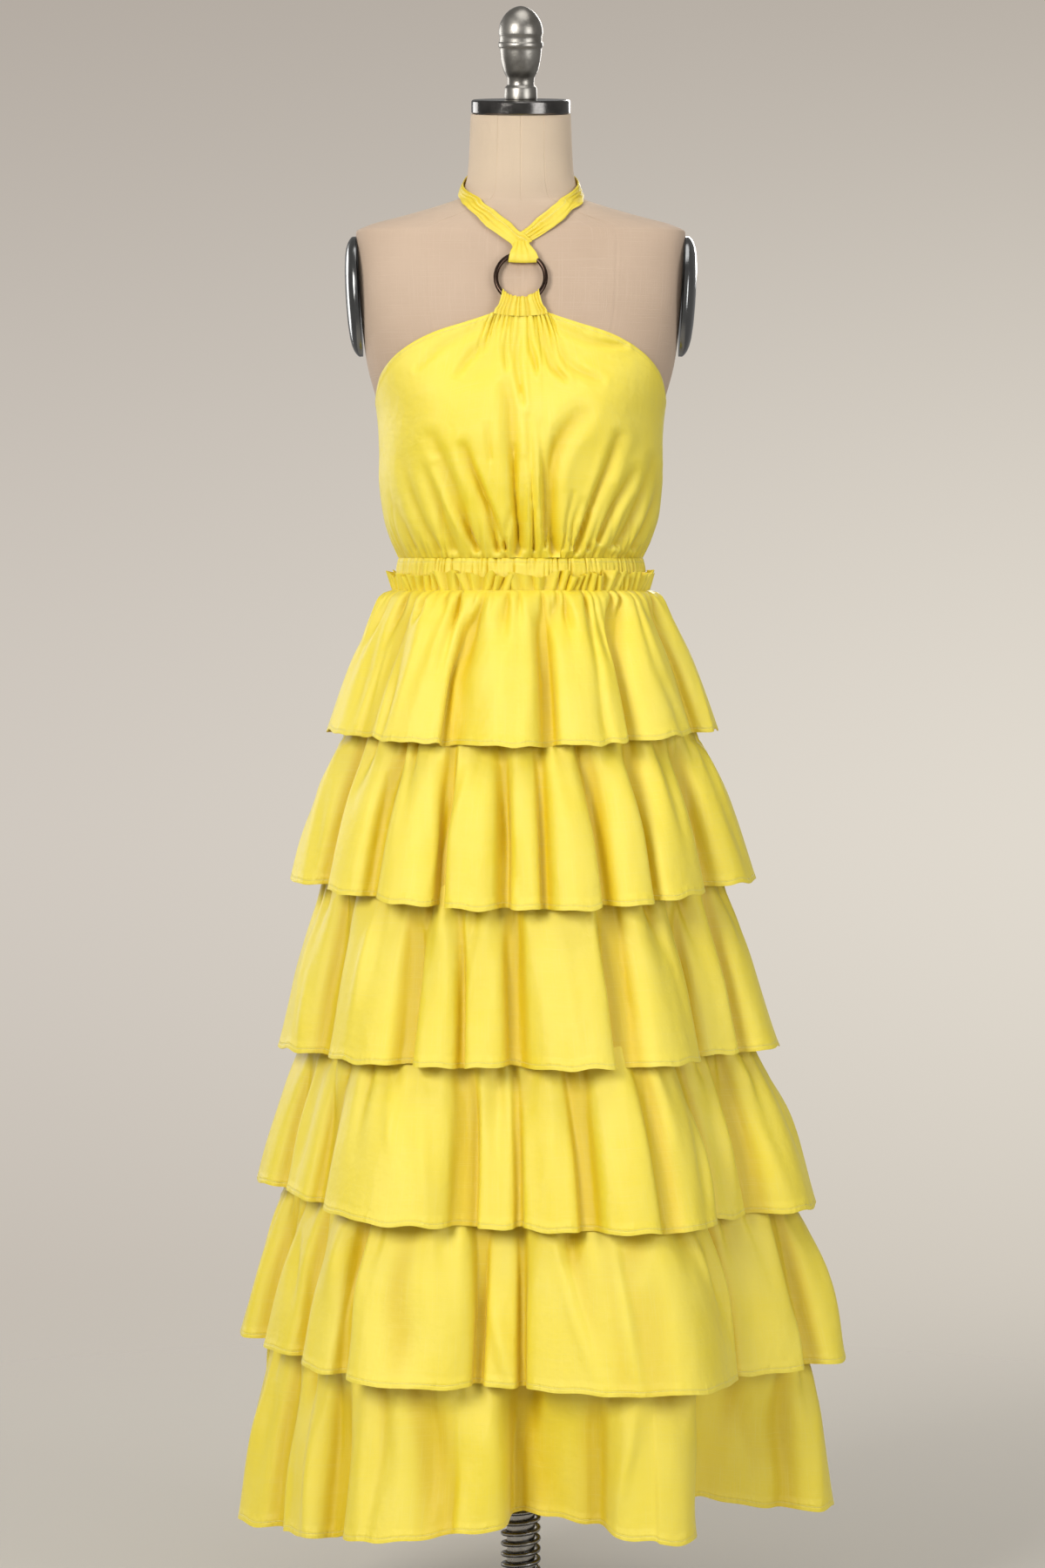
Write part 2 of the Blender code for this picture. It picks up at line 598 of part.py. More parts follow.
def build_ring(metal):
    count, sides = RING["segments"], RING["sides"]
    rings = ring_tube(0, 360, count + 1, lambda i: RING["tube"], sides)[:-1]
    faces = []
    for i in range(count):
        for k in range(sides):
            j, m = (i + 1) % count, (k + 1) % sides
            faces.append([i * sides + k, j * sides + k, j * sides + m, i * sides + m])
    solid("ring", rings.reshape(-1, 3), faces, metal)


def build_sleeve(name, middle, half_angle, steps, cloth):
    """Cloth wrapped round an arc of the ring, with gathers along it."""
    inner = ring_tube(
        middle - half_angle, middle + half_angle, steps, lambda i: SLEEVE["inner"], SLEEVE["sides"]
    )
    outer = ring_tube(
        middle - half_angle, middle + half_angle, steps,
        lambda i: SLEEVE["outer"] + (SLEEVE["gather"] if i % 2 else 0.0), SLEEVE["sides"],
    )
    rows, columns = inner.shape[:2]
    faces = []
    for row in range(rows - 1):
        for k in range(columns):
            m = (k + 1) % columns
            quad = [row * columns + k, row * columns + m, (row + 1) * columns + m, (row + 1) * columns + k]
            faces.append([v + rows * columns for v in quad[::-1]])
            faces.append(quad)
    for row, turn in ((0, -1), (rows - 1, 1)):
        for k in range(columns):
            m = (k + 1) % columns
            lower, upper = row * columns + k, row * columns + m
            rim = [lower, upper, upper + rows * columns, lower + rows * columns]
            faces.append(rim if turn == 1 else rim[::-1])
    points = np.concatenate([inner.reshape(-1, 3), outer.reshape(-1, 3)])
    solid(name, points, faces, cloth)


def build_strap(name, side, front, cloth):
    """Half of the halter strap, from the centre back round the neck and down to the ring."""
    upper, lower = [], []
    for station in STRAP_BACK:
        azimuth = station.azimuth - (SEAM_GAP if station.azimuth == 180 else 0.0)
        upper.append((azimuth, station.upper_height, station.lift))
        lower.append((azimuth, station.lower_height, station.lift))
    for station in front:
        high, low = station.upper_height, station.lower_height
        upper.append((azimuth_at(station.upper_x, high), high, station.lift))
        lower.append((azimuth_at(station.lower_x, low), low, station.lift))
    upper, lower = np.array(upper), np.array(lower)
    stations = np.arange(len(upper))
    fine = np.linspace(0, len(upper) - 1, 2 * len(upper) - 1)
    grid = []
    for share in (0, 0.5, 1):
        edge = upper + (lower - upper) * share
        azimuth, height, lift = (np.interp(fine, stations, edge[:, k]) for k in range(3))
        grid.append(form_point(side * azimuth, height, lift))
    grid = np.array(grid)
    wall(name, grid if side < 0 else grid[:, ::-1], STRAP_WALL, cloth, around=False, level_top=False)


def main():
    clear_scene()
    yellow = finish("yellow_cloth", (0.93, 0.76, 0.14), 0.62)
    linen = finish("form_linen", (0.72, 0.56, 0.42), 0.85)
    steel = finish("polished_steel", (0.62, 0.60, 0.58), 0.18, 1.0)
    dark_steel = finish("dark_steel", (0.16, 0.17, 0.17), 0.25, 1.0)
    bronze = finish("dark_bronze", (0.05, 0.03, 0.02), 0.25, 1.0)
    iron = finish("painted_iron", (0.03, 0.03, 0.035), 0.45)

    build_form(linen, steel, dark_steel)
    build_stand(steel, iron)
    build_underskirt(yellow)
    for name, tier in TIERS.items():
        build_tier(name, tier, yellow)
    build_waist(yellow)
    build_bodice(yellow)
    build_ring(bronze)
    build_sleeve("bodice_ring_sleeve", 0, 46, 15, yellow)
    build_sleeve("strap_ring_sleeve", 180, 36, 9, yellow)
    build_strap("strap_right", -1, RIGHT_STRAP_FRONT, yellow)
    build_strap("strap_left", 1, LEFT_STRAP_FRONT, yellow)


main()
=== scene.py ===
# Looks for the tiered halter dress on its dress form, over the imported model.
# Working lengths are in millimetres and angles in degrees, and meshes are written in metres.
# An azimuth is counted from the front (-Y) towards the wearer's left (+X).

import math

import bpy
import numpy as np
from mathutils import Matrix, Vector


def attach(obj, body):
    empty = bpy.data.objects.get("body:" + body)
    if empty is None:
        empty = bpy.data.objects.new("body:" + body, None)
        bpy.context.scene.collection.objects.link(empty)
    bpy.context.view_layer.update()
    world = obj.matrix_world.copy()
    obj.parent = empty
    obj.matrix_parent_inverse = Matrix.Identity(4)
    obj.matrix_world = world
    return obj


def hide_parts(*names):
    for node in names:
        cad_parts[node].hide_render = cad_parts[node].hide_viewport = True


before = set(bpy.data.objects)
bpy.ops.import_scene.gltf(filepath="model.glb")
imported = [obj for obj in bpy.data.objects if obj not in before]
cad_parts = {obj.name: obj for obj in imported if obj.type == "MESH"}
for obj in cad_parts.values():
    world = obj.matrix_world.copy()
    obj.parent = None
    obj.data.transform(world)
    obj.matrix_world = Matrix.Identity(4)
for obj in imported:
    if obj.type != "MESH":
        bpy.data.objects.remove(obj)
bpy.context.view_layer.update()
print("frame loaded:", len(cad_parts), "nodes")

cameraLook = {"place": (0.002, -4.5, 1.25), "aimHeight": 0.985, "lens": 91.7, "sensor": 36.0}


def makeCamera():
    data = bpy.data.cameras.new("photoCamera")
    data.lens = cameraLook["lens"]
    data.sensor_width = cameraLook["sensor"]
    camera = bpy.data.objects.new("photoCamera", data)
    x, y, z = cameraLook["place"]
    camera.location = (x, y, z)
    camera.rotation_euler = (math.pi / 2 - math.atan2(z - cameraLook["aimHeight"], -y), 0, 0)
    bpy.context.scene.collection.objects.link(camera)
    bpy.context.scene.camera = camera


makeCamera()


# Shared shaping tools

def curveThrough(keys, values, at):
    # a smooth curve through the keys that never overshoots them
    keys, values, at = (np.asarray(v, float) for v in (keys, values, at))
    step = np.diff(keys)
    rise = np.diff(values) / step
    before, after = 2 * step[1:] + step[:-1], step[1:] + 2 * step[:-1]
    slope = np.zeros(len(keys))
    same = rise[1:] * rise[:-1] > 0
    safe = np.where(same, rise[:-1], 1.0), np.where(same, rise[1:], 1.0)
    slope[1:-1] = np.where(same, (before + after) / (before / safe[0] + after / safe[1]), 0.0)
    slope[0], slope[-1] = rise[0], rise[-1]
    spot = np.clip(np.searchsorted(keys, at, side="right") - 1, 0, len(step) - 1)
    t = np.clip((at - keys[spot]) / step[spot], 0, 1)
    low, high, span = values[spot], values[spot + 1], step[spot]
    bend = span * t * (1 - t) * (slope[spot] * (1 - t) - slope[spot + 1] * t)
    return low * (1 + 2 * t) * (1 - t) ** 2 + high * t * t * (3 - 2 * t) + bend


def wavesRound(keys, values, at):
    # folds round a circle: flat at each key and smooth between
    keys, values, at = (np.asarray(v, float) for v in (keys, values, at))
    keys = np.append(keys, keys[0] + 360)
    values = np.append(values, values[0])
    at = (at - keys[0]) % 360 + keys[0]
    spot = np.clip(np.searchsorted(keys, at, side="right") - 1, 0, len(keys) - 2)
    t = np.clip((at - keys[spot]) / (keys[spot + 1] - keys[spot]), 0, 1)
    t = t * t * (3 - 2 * t)
    return values[spot] + (values[spot + 1] - values[spot]) * t


def gridNormals(grid, closed):
    across = np.roll(grid, -1, 1) - np.roll(grid, 1, 1) if closed else np.gradient(grid, axis=1)
    normals = np.cross(np.gradient(grid, axis=0), across)
    return normals / np.maximum(np.linalg.norm(normals, axis=2, keepdims=True), 1e-9)


def bell(away, half):
    # 1 at no distance, falling off smoothly past the half width
    return np.exp(-(away / half) ** 2)


def grown(away, over):
    # 0 at no distance, and nearly 1 well past the given one
    return 1 - np.exp(-away / over)


def turnFrom(azimuth, spot):
    return (azimuth - spot + 180) % 360 - 180


def roundTurns(count):
    return 2 * np.pi * np.arange(count) / count


def quadsOf(rows, cols, closed=False):
    # faces of a grid whose columns go round, and whose rows do too where it is closed
    return [[r * cols + i, r * cols + (i + 1) % cols, (r + 1) % rows * cols + (i + 1) % cols,
             (r + 1) % rows * cols + i] for r in range(rows if closed else rows - 1) for i in range(cols)]


def endCaps(rows, cols):
    return [list(range(cols))[::-1], [(rows - 1) * cols + i for i in range(cols)]]


def addMesh(name, points, faces, material, uvs=None, sharp=50):
    mesh = bpy.data.meshes.new(name)
    mesh.from_pydata((np.asarray(points, float) * 0.001).tolist(), [], faces)
    if uvs is not None:
        mesh.uv_layers.new(name="cloth").data.foreach_set("uv", np.asarray(uvs, float).ravel())
    mesh.materials.append(material)
    mesh.shade_smooth()
    mesh.set_sharp_from_angle(angle=math.radians(sharp))
    made = bpy.data.objects.new(name, mesh)
    bpy.context.scene.collection.objects.link(made)
    return made


def shell(name, grid, thick, material, uv, closed, paintedShade):
    # two skins of cloth round a grid whose rows go down and whose columns go towards +azimuth;
    # the last argument is painted shade from 0 to 1, darker where the cloth lies in a fold
    rows, cols = grid.shape[:2]
    half = gridNormals(grid, closed) * (np.broadcast_to(thick, (rows, cols))[..., None] / 2)
    index = np.arange(2 * rows * cols).reshape(2, rows, cols)
    if closed:
        index = np.concatenate([index, index[:, :, :1]], axis=2)
    outer, inner = index
    quads, corners = [], []

    def add(*spots):
        quads.append(np.stack([skin[r, c] for skin, r, c in spots], -1).reshape(-1, 4))
        corners.append(np.stack([uv[r, c] for skin, r, c in spots], -2).reshape(-1, 4, 2))

    up, low = slice(None, -1), slice(1, None)
    add((outer, up, up), (outer, low, up), (outer, low, low), (outer, up, low))
    add((inner, up, low), (inner, low, low), (inner, low, up), (inner, up, up))
    add((outer, 0, up), (outer, 0, low), (inner, 0, low), (inner, 0, up))
    add((inner, -1, up), (inner, -1, low), (outer, -1, low), (outer, -1, up))
    if not closed:
        add((outer, up, 0), (inner, up, 0), (inner, low, 0), (outer, low, 0))
        add((outer, up, -1), (outer, low, -1), (inner, low, -1), (inner, up, -1))
    points = np.concatenate([(grid + half).reshape(-1, 3), (grid - half).reshape(-1, 3)])
    faces = np.concatenate(quads).tolist()
    made = addMesh(name, points, faces, material, np.concatenate(corners), 62)
    if paintedShade is not None:
        field = np.clip(np.broadcast_to(paintedShade, (rows, cols)), 0, 1).ravel()
        # painted shade: the inner skin is painted at least 0.7 shaded, as it lies in shade inside the cloth
        both = np.concatenate([field, np.maximum(field, 0.7)])
        made.data.attributes.new("paintedShade", "FLOAT", "POINT").data.foreach_set("value", both)
    return made


def clothUv(rows, cols, width, drops):
    # u runs along the cloth and v is the distance in metres from the edge that is stitched
    u = np.broadcast_to(np.linspace(0, width, cols), (rows, cols))
    v = np.broadcast_to(np.asarray(drops, float).reshape(rows, -1), (rows, cols))
    return np.stack([u, v], -1)


def lathe(name, profile, segments, material, sharp=35, centre=(0, 0, 0), lean=0.0):
    # profile rows are (height, radius), from the bottom up, and radius 0 closes an end
    points, starts = [], []
    for height, radius in profile:
        starts.append(len(points))
        for i in range(segments if radius else 1):
            turn = 2 * math.pi * i / segments
            points.append((radius * math.cos(turn), radius * math.sin(turn), height))
    faces = []
    for row in range(len(profile) - 1):
        low, high = profile[row][1], profile[row + 1][1]
        for i in range(segments):
            j = (i + 1) % segments
            spots = [starts[row] + (i if low else 0), starts[row] + (j if low else 0),
                     starts[row + 1] + (j if high else 0), starts[row + 1] + (i if high else 0)]
            faces.append(list(dict.fromkeys(spots)))
    for row, flip in ((0, True), (len(profile) - 1, False)):
        if profile[row][1]:
            rim = [starts[row] + i for i in range(segments)]
            faces.append(rim[::-1] if flip else rim)
    turn = math.radians(lean)
    points = np.array(points)
    tilted = np.stack([
        points[:, 0], points[:, 1] * math.cos(turn) - points[:, 2] * math.sin(turn),
        points[:, 1] * math.sin(turn) + points[:, 2] * math.cos(turn),
    ], -1)
    return addMesh(name, tilted + np.array(centre), faces, material, None, sharp)


def settle(piece, slot, *nodes):
    # the piece rides on the part's one body and stands for its CAD nodes
    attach(piece, "root")
    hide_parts(*nodes)
    return piece


def sewn(name, node, look, grid, material, drops, paintedShade=None, closed=False, thick=None):
    # a piece of the dress from its grid and its rows' distances from the stitched edge
    rows, cols = grid.shape[:2]
    uv = clothUv(rows, cols + closed, look["cut"][0], drops)
    thick = look["cloth"] if thick is None else thick
    return settle(shell(name, grid, thick, material, uv, closed, paintedShade), "dress_cloth", node)


def lineLength(points):
    return np.linalg.norm(np.roll(points, -1, 0) - points, axis=1).sum()


# Shader node groups

def newGroup(name, inputs, outputs):
    group = bpy.data.node_groups.new(name, "ShaderNodeTree")
    for label, kind, value in inputs:
        socket = group.interface.new_socket(name=label, in_out="INPUT", socket_type=kind)
        if value is not None:
            socket.default_value = value
    for label, kind in outputs:
        group.interface.new_socket(name=label, in_out="OUTPUT", socket_type=kind)
    return group, group.nodes.new("NodeGroupInput"), group.nodes.new("NodeGroupOutput")


def place(tree, socket, value):
    if isinstance(value, bpy.types.NodeSocket):
        tree.links.new(value, socket)
    else:
        socket.default_value = value


def calc(tree, operation, *values):
    node = tree.nodes.new("ShaderNodeMath")
    node.operation = operation
    for socket, value in zip(node.inputs, values):
        place(tree, socket, value)
    return node.outputs[0]


def times(tree, first, second):
    return calc(tree, "MULTIPLY", first, second)


def ranged(tree, value, fromLow, fromHigh, toLow=0.0, toHigh=1.0, smooth=False):
    node = tree.nodes.new("ShaderNodeMapRange")
    if smooth:
        node.interpolation_type = "SMOOTHSTEP"
    for label, given in (("Value", value), ("From Min", fromLow), ("From Max", fromHigh),
                         ("To Min", toLow), ("To Max", toHigh)):
        place(tree, node.inputs[label], given)
    return node.outputs["Result"]


def noise(tree, vector, scale, detail=2.0, rough=0.5):
    node = tree.nodes.new("ShaderNodeTexNoise")
    place(tree, node.inputs["Vector"], vector)
    place(tree, node.inputs["Scale"], scale)
    node.inputs["Detail"].default_value = detail
    node.inputs["Roughness"].default_value = rough
    return node.outputs["Fac"]


def stretched(tree, vector, scale):
    node = tree.nodes.new("ShaderNodeVectorMath")
    node.operation = "MULTIPLY"
    place(tree, node.inputs[0], vector)
    node.inputs[1].default_value = scale
    return node.outputs[0]


def splitUp(tree, vector, *axes):
    # the parts of a vector along the named axes, or along X and Y
    node = tree.nodes.new("ShaderNodeSeparateXYZ")
    tree.links.new(vector, node.inputs[0])
    return [node.outputs[axis] for axis in axes or ("X", "Y")]


def makeWeaveGroup():
    # plain weave from metre coordinates: thread height, and threads that are thicker in places
    group, source, sink = newGroup(
        "plainWeave",
        [("Coordinates", "NodeSocketVector", None), ("Threads", "NodeSocketFloat", 2600.0),
         ("Slub", "NodeSocketFloat", 0.4)],
        [("Height", "NodeSocketFloat"), ("Slub Mask", "NodeSocketFloat")],
    )
    spots = source.outputs["Coordinates"]
    across, down = splitUp(group, spots)
    rate = times(group, source.outputs["Threads"], math.pi)
    warp = calc(group, "SINE", times(group, across, rate))
    weft = calc(group, "SINE", times(group, down, rate))
    over = ranged(group, times(group, warp, weft), -0.4, 0.4)
    under = calc(group, "SUBTRACT", 1.0, over)
    lift = calc(group, "ADD", times(group, calc(group, "ABSOLUTE", warp), over),
                times(group, calc(group, "ABSOLUTE", weft), under))
    thickWeft = noise(group, stretched(group, spots, (14, 900, 1)), 1.0, 1.0)
    thickWarp = noise(group, stretched(group, spots, (900, 14, 1)), 1.0, 1.0)
    slub = ranged(group, calc(group, "MAXIMUM", thickWeft, thickWarp), 0.55, 0.85)
    group.links.new(slub, sink.inputs["Slub Mask"])
    thick = times(group, slub, source.outputs["Slub"])
    group.links.new(calc(group, "ADD", lift, thick), sink.inputs["Height"])
    return group


def makeCrumpleGroup():
    # soft unevenness of worn cloth, longer along the fall than across it
    group, source, sink = newGroup(
        "softCrumple",
        [("Coordinates", "NodeSocketVector", None), ("Scale", "NodeSocketFloat", 26.0)],
        [("Height", "NodeSocketFloat"), ("Tone", "NodeSocketFloat")],
    )
    spots, scale = source.outputs["Coordinates"], source.outputs["Scale"]
    broad = noise(group, stretched(group, spots, (1.0, 1.0, 0.28)), scale, 2.0, 0.45)
    fine = noise(group, spots, times(group, scale, 3.1), 2.0, 0.5)
    mixed = calc(group, "ADD", times(group, broad, 0.78), times(group, fine, 0.22))
    group.links.new(mixed, sink.inputs["Height"])
    tone = noise(group, spots, times(group, scale, 0.35), 3.0, 0.6)
    group.links.new(ranged(group, tone, 0.3, 0.7), sink.inputs["Tone"])
    return group


def makeStitchGroup():
    # one row of stitches at a distance from the edge where v is 0
    group, source, sink = newGroup(
        "stitchRow",
        [("Coordinates", "NodeSocketVector", None), ("Distance", "NodeSocketFloat", 0.007),
         ("Pitch", "NodeSocketFloat", 0.003), ("Width", "NodeSocketFloat", 0.0006),
         ("Pucker Width", "NodeSocketFloat", 0.010)],
        [("Height", "NodeSocketFloat"), ("Mask", "NodeSocketFloat"), ("Pucker", "NodeSocketFloat")],
    )
    spots, width = source.outputs["Coordinates"], source.outputs["Width"]
    along, down = splitUp(group, spots)
    away = calc(group, "ABSOLUTE", calc(group, "SUBTRACT", down, source.outputs["Distance"]))
    near = ranged(group, away, 0.0, width, 1.0, 0.0, True)
    beat = calc(group, "PINGPONG", calc(group, "DIVIDE", along, source.outputs["Pitch"]), 0.5)
    thread = times(group, near, ranged(group, beat, 0.06, 0.16, 0.0, 1.0, True))
    dent = ranged(group, away, 0.0, times(group, width, 4.0), 1.0, 0.0, True)
    height = calc(group, "SUBTRACT", thread, times(group, dent, 0.9))
    group.links.new(height, sink.inputs["Height"])
    group.links.new(thread, sink.inputs["Mask"])
    wide = ranged(group, away, 0.0, source.outputs["Pucker Width"], 1.0, 0.0, True)
    ripple = noise(group, stretched(group, spots, (150, 40, 1)), 1.0, 1.0)
    group.links.new(times(group, wide, ripple), sink.inputs["Pucker"])
    return group


def makeMetalGroup():
    # fine marks and smears on turned or plated metal
    group, source, sink = newGroup(
        "handledMetal",
        [("Coordinates", "NodeSocketVector", None), ("Scale", "NodeSocketFloat", 40.0)],
        [("Smear", "NodeSocketFloat"), ("Height", "NodeSocketFloat")],
    )
    spots, scale = source.outputs["Coordinates"], source.outputs["Scale"]
    smear = noise(group, spots, scale, 4.0, 0.6)
    group.links.new(ranged(group, smear, 0.3, 0.75), sink.inputs["Smear"])
    lines = stretched(group, spots, (1.0, 1.0, 14.0))
    group.links.new(noise(group, lines, times(group, scale, 2.5), 3.0, 0.7), sink.inputs["Height"])
    return group


weaveGroup = makeWeaveGroup()
crumpleGroup = makeCrumpleGroup()
stitchGroup = makeStitchGroup()
metalGroup = makeMetalGroup()


# Materials

def newMaterial(name):
    made = bpy.data.materials.new(name)
    made.use_nodes = True
    return made, made.node_tree, made.node_tree.nodes["Principled BSDF"]


def grouped(tree, group, coordinates, **values):
    node = tree.nodes.new("ShaderNodeGroup")
    node.node_tree = group
    tree.links.new(coordinates, node.inputs["Coordinates"])
    for label, value in values.items():
        node.inputs[label].default_value = value
    return node


def blendColour(tree, share, first, second):
    node = tree.nodes.new("ShaderNodeMix")
    node.data_type = "RGBA"
    place(tree, node.inputs["Factor"], share)
    for socket, value in ((node.inputs[6], first), (node.inputs[7], second)):
        place(tree, socket, value if isinstance(value, bpy.types.NodeSocket) else (*value, 1.0))
    return node.outputs[2]


def addBump(tree, shader, height, distance, before=None):
    node = tree.nodes.new("ShaderNodeBump")
    node.inputs["Strength"].default_value = 1.0
    node.inputs["Distance"].default_value = distance
    tree.links.new(height, node.inputs["Height"])
    if before is not None:
        tree.links.new(before, node.inputs["Normal"])
    tree.links.new(node.outputs[0], shader.inputs["Normal"])
    return node.outputs[0]


def paint(tree, shader, colour, tone, roughness):
    tree.links.new(colour, shader.inputs["Base Color"])
    tree.links.new(ranged(tree, tone, 0, 1, *roughness), shader.inputs["Roughness"])


def finishSurface(shader, settings):
    for label, value in settings.items():
        shader.inputs[label].default_value = value


def clothSpots(tree):
    # the cloth's own coordinates in metres, and the object's
    uv = tree.nodes.new("ShaderNodeUVMap")
    uv.uv_map = "cloth"
    return uv.outputs[0], tree.nodes.new("ShaderNodeTexCoord").outputs["Object"]


# the third colour is painted shade, a deeper golden yellow for the cloth's folds and creases
poplinLook = {
    "light": (0.94, 0.775, 0.075), "deep": (0.92, 0.735, 0.025), "paintedShade": (0.79, 0.575, 0.002),
    "thread": (0.94, 0.83, 0.26), "slubTone": 0.25, "roughness": (0.40, 0.49),
    "threads": 2600.0, "slub": 0.5, "weave": 0.00006, "crumpleScale": 26.0, "crumple": 0.0034,
    "stitchPitch": 0.0032, "stitchRise": 0.0004, "pucker": 0.0016,
    "surface": {"Sheen Weight": 0.25, "Sheen Roughness": 0.35, "Sheen Tint": (1.0, 0.96, 0.78, 1.0),
                "Specular IOR Level": 0.85},
}


def makePoplin(name, stitches=()):
    # smooth yellow poplin with painted shade in its folds, with rows of stitches given as distances from the
    # edge in metres
    look = poplinLook
    made, tree, shader = newMaterial(name)
    spots, room = clothSpots(tree)
    weave = grouped(tree, weaveGroup, spots, Threads=look["threads"], Slub=look["slub"])
    crumple = grouped(tree, crumpleGroup, room, Scale=look["crumpleScale"])
    colour = blendColour(tree, crumple.outputs["Tone"], look["deep"], look["light"])
    # painted shade: a deeper golden colour where the mesh attribute marks folds, creases and the inner skin
    paintedShadeMask = tree.nodes.new("ShaderNodeAttribute")
    paintedShadeMask.attribute_name = "paintedShade"
    colour = blendColour(tree, paintedShadeMask.outputs["Fac"], colour, look["paintedShade"])
    slub = times(tree, weave.outputs["Slub Mask"], look["slubTone"])
    colour = blendColour(tree, slub, colour, look["thread"])
    normal = addBump(tree, shader, crumple.outputs["Height"], look["crumple"])
    normal = addBump(tree, shader, weave.outputs["Height"], look["weave"], normal)
    for distance in stitches:
        row = grouped(tree, stitchGroup, spots, Distance=distance, Pitch=look["stitchPitch"])
        colour = blendColour(tree, row.outputs["Mask"], colour, look["thread"])
        normal = addBump(tree, shader, row.outputs["Pucker"], look["pucker"], normal)
        normal = addBump(tree, shader, row.outputs["Height"], look["stitchRise"], normal)
    paint(tree, shader, colour, crumple.outputs["Tone"], look["roughness"])
    finishSurface(shader, look["surface"])
    return made


linenLook = {
    "light": (0.61, 0.46, 0.34), "deep": (0.53, 0.39, 0.28), "thread": (0.72, 0.58, 0.45),
    "slubTone": 0.3, "neck": (0.82, 0.66, 0.48), "neckFrom": 1.60, "neckTo": 1.68, "neckShare": 0.85,
    "roughness": (0.8, 0.92), "threads": 1300.0, "slub": 1.2, "weave": 0.00012, "mottleScale": 14.0,
    "surface": {"Sheen Weight": 0.15, "Specular IOR Level": 0.25},
}


def makeLinen(name):
    # the form's linen cover, lighter on the neck
    look = linenLook
    made, tree, shader = newMaterial(name)
    spots, room = clothSpots(tree)
    weave = grouped(tree, weaveGroup, spots, Threads=look["threads"], Slub=look["slub"])
    mottle = grouped(tree, crumpleGroup, room, Scale=look["mottleScale"])
    colour = blendColour(tree, mottle.outputs["Tone"], look["deep"], look["light"])
    height, = splitUp(tree, room, "Z")
    neck = ranged(tree, height, look["neckFrom"], look["neckTo"], 0.0, look["neckShare"], True)
    colour = blendColour(tree, neck, colour, look["neck"])
    slub = times(tree, weave.outputs["Slub Mask"], look["slubTone"])
    colour = blendColour(tree, slub, colour, look["thread"])
    paint(tree, shader, colour, mottle.outputs["Tone"], look["roughness"])
    addBump(tree, shader, weave.outputs["Height"], look["weave"])
    finishSurface(shader, look["surface"])
    return made


def makeMetal(name, dark, light, roughness, scale=40.0, mark=0.00008, metallic=1.0):
    made, tree, shader = newMaterial(name)
    spots = tree.nodes.new("ShaderNodeTexCoord")
    marks = grouped(tree, metalGroup, spots.outputs["Object"], Scale=scale)
    smear = marks.outputs["Smear"]
    paint(tree, shader, blendColour(tree, smear, dark, light), smear, roughness)
    addBump(tree, shader, marks.outputs["Height"], mark)
    shader.inputs["Metallic"].default_value = metallic
    return made



hemmedPoplin = makePoplin("yellowPoplinHemmed", (0.0055,))
edgedPoplin = makePoplin("yellowPoplinEdged", (0.005,))
plainPoplin = makePoplin("yellowPoplinPlain")
formLinen = makeLinen("formLinen")
pewter = makeMetal("brushedPewter", (0.27, 0.25, 0.22), (0.46, 0.44, 0.40), (0.30, 0.44))
springSteel = makeMetal("springSteel", (0.30, 0.29, 0.27), (0.55, 0.54, 0.52), (0.20, 0.34))
neckChrome = makeMetal("darkNeckChrome", (0.10, 0.095, 0.09), (0.20, 0.19, 0.18), (0.12, 0.22))
plateSteel = makeMetal("darkPlateSteel", (0.20, 0.20, 0.20), (0.24, 0.24, 0.235), (0.12, 0.17))
ringBronze = makeMetal("darkRingBronze", (0.055, 0.034, 0.025), (0.085, 0.054, 0.040), (0.26, 0.32),
                       60.0, 0.00002)
standIron = makeMetal("paintedIron", (0.018, 0.018, 0.02), (0.035, 0.034, 0.034), (0.38, 0.5),
                      30.0, 0.0002, 0.0)
print("materials made")


# The dress form's surface, which everything worn is laid on

formShape = {
    "height": [962, 985, 1040, 1130, 1232, 1318, 1400, 1463, 1530, 1583, 1603, 1611, 1622, 1633,
               1641, 1650, 1668, 1733],
    "halfWidth": [140, 156, 165, 150, 133, 141, 157, 173, 180, 183, 184, 170, 130, 92, 70, 64, 59, 55.5],
    "front": [96, 108, 115, 107, 95, 104, 114, 104, 86, 69, 62, 59, 56, 53, 50, 49, 49, 51],
    "back": [104, 120, 128, 112, 90, 92, 96, 99, 96, 84, 74, 68, 62, 58, 56, 55, 54, 51],
    "squareness": [2, 2, 2, 2, 2.1, 2.2, 2.3, 2.6, 2.9, 2.9, 2.8, 2.6, 2.4, 2.2, 2, 2, 2, 2],
    "centre": [0, 0, 0, 0, 0, 0, 0, 0, 0, 0, 0, 0, -1, -3, -5, -6, -8, -19],
    "tilt": [0, 0, 0, 0, 0, 0, 0, 0, 0, 0, 0, 1, 2, 3, 4, 5, 5, 8],
    "bust": {"height": 1400, "spread": 62, "azimuth": 33, "width": 24, "depth": 15},
    "columns": 120, "rowsBetween": 7,
    "seams": (0, 27, 90, 153, 180, 207, 270, 333), "seamDepth": 0.45,
}


def formMeasure(field, height):
    return curveThrough(formShape["height"], formShape[field], height)


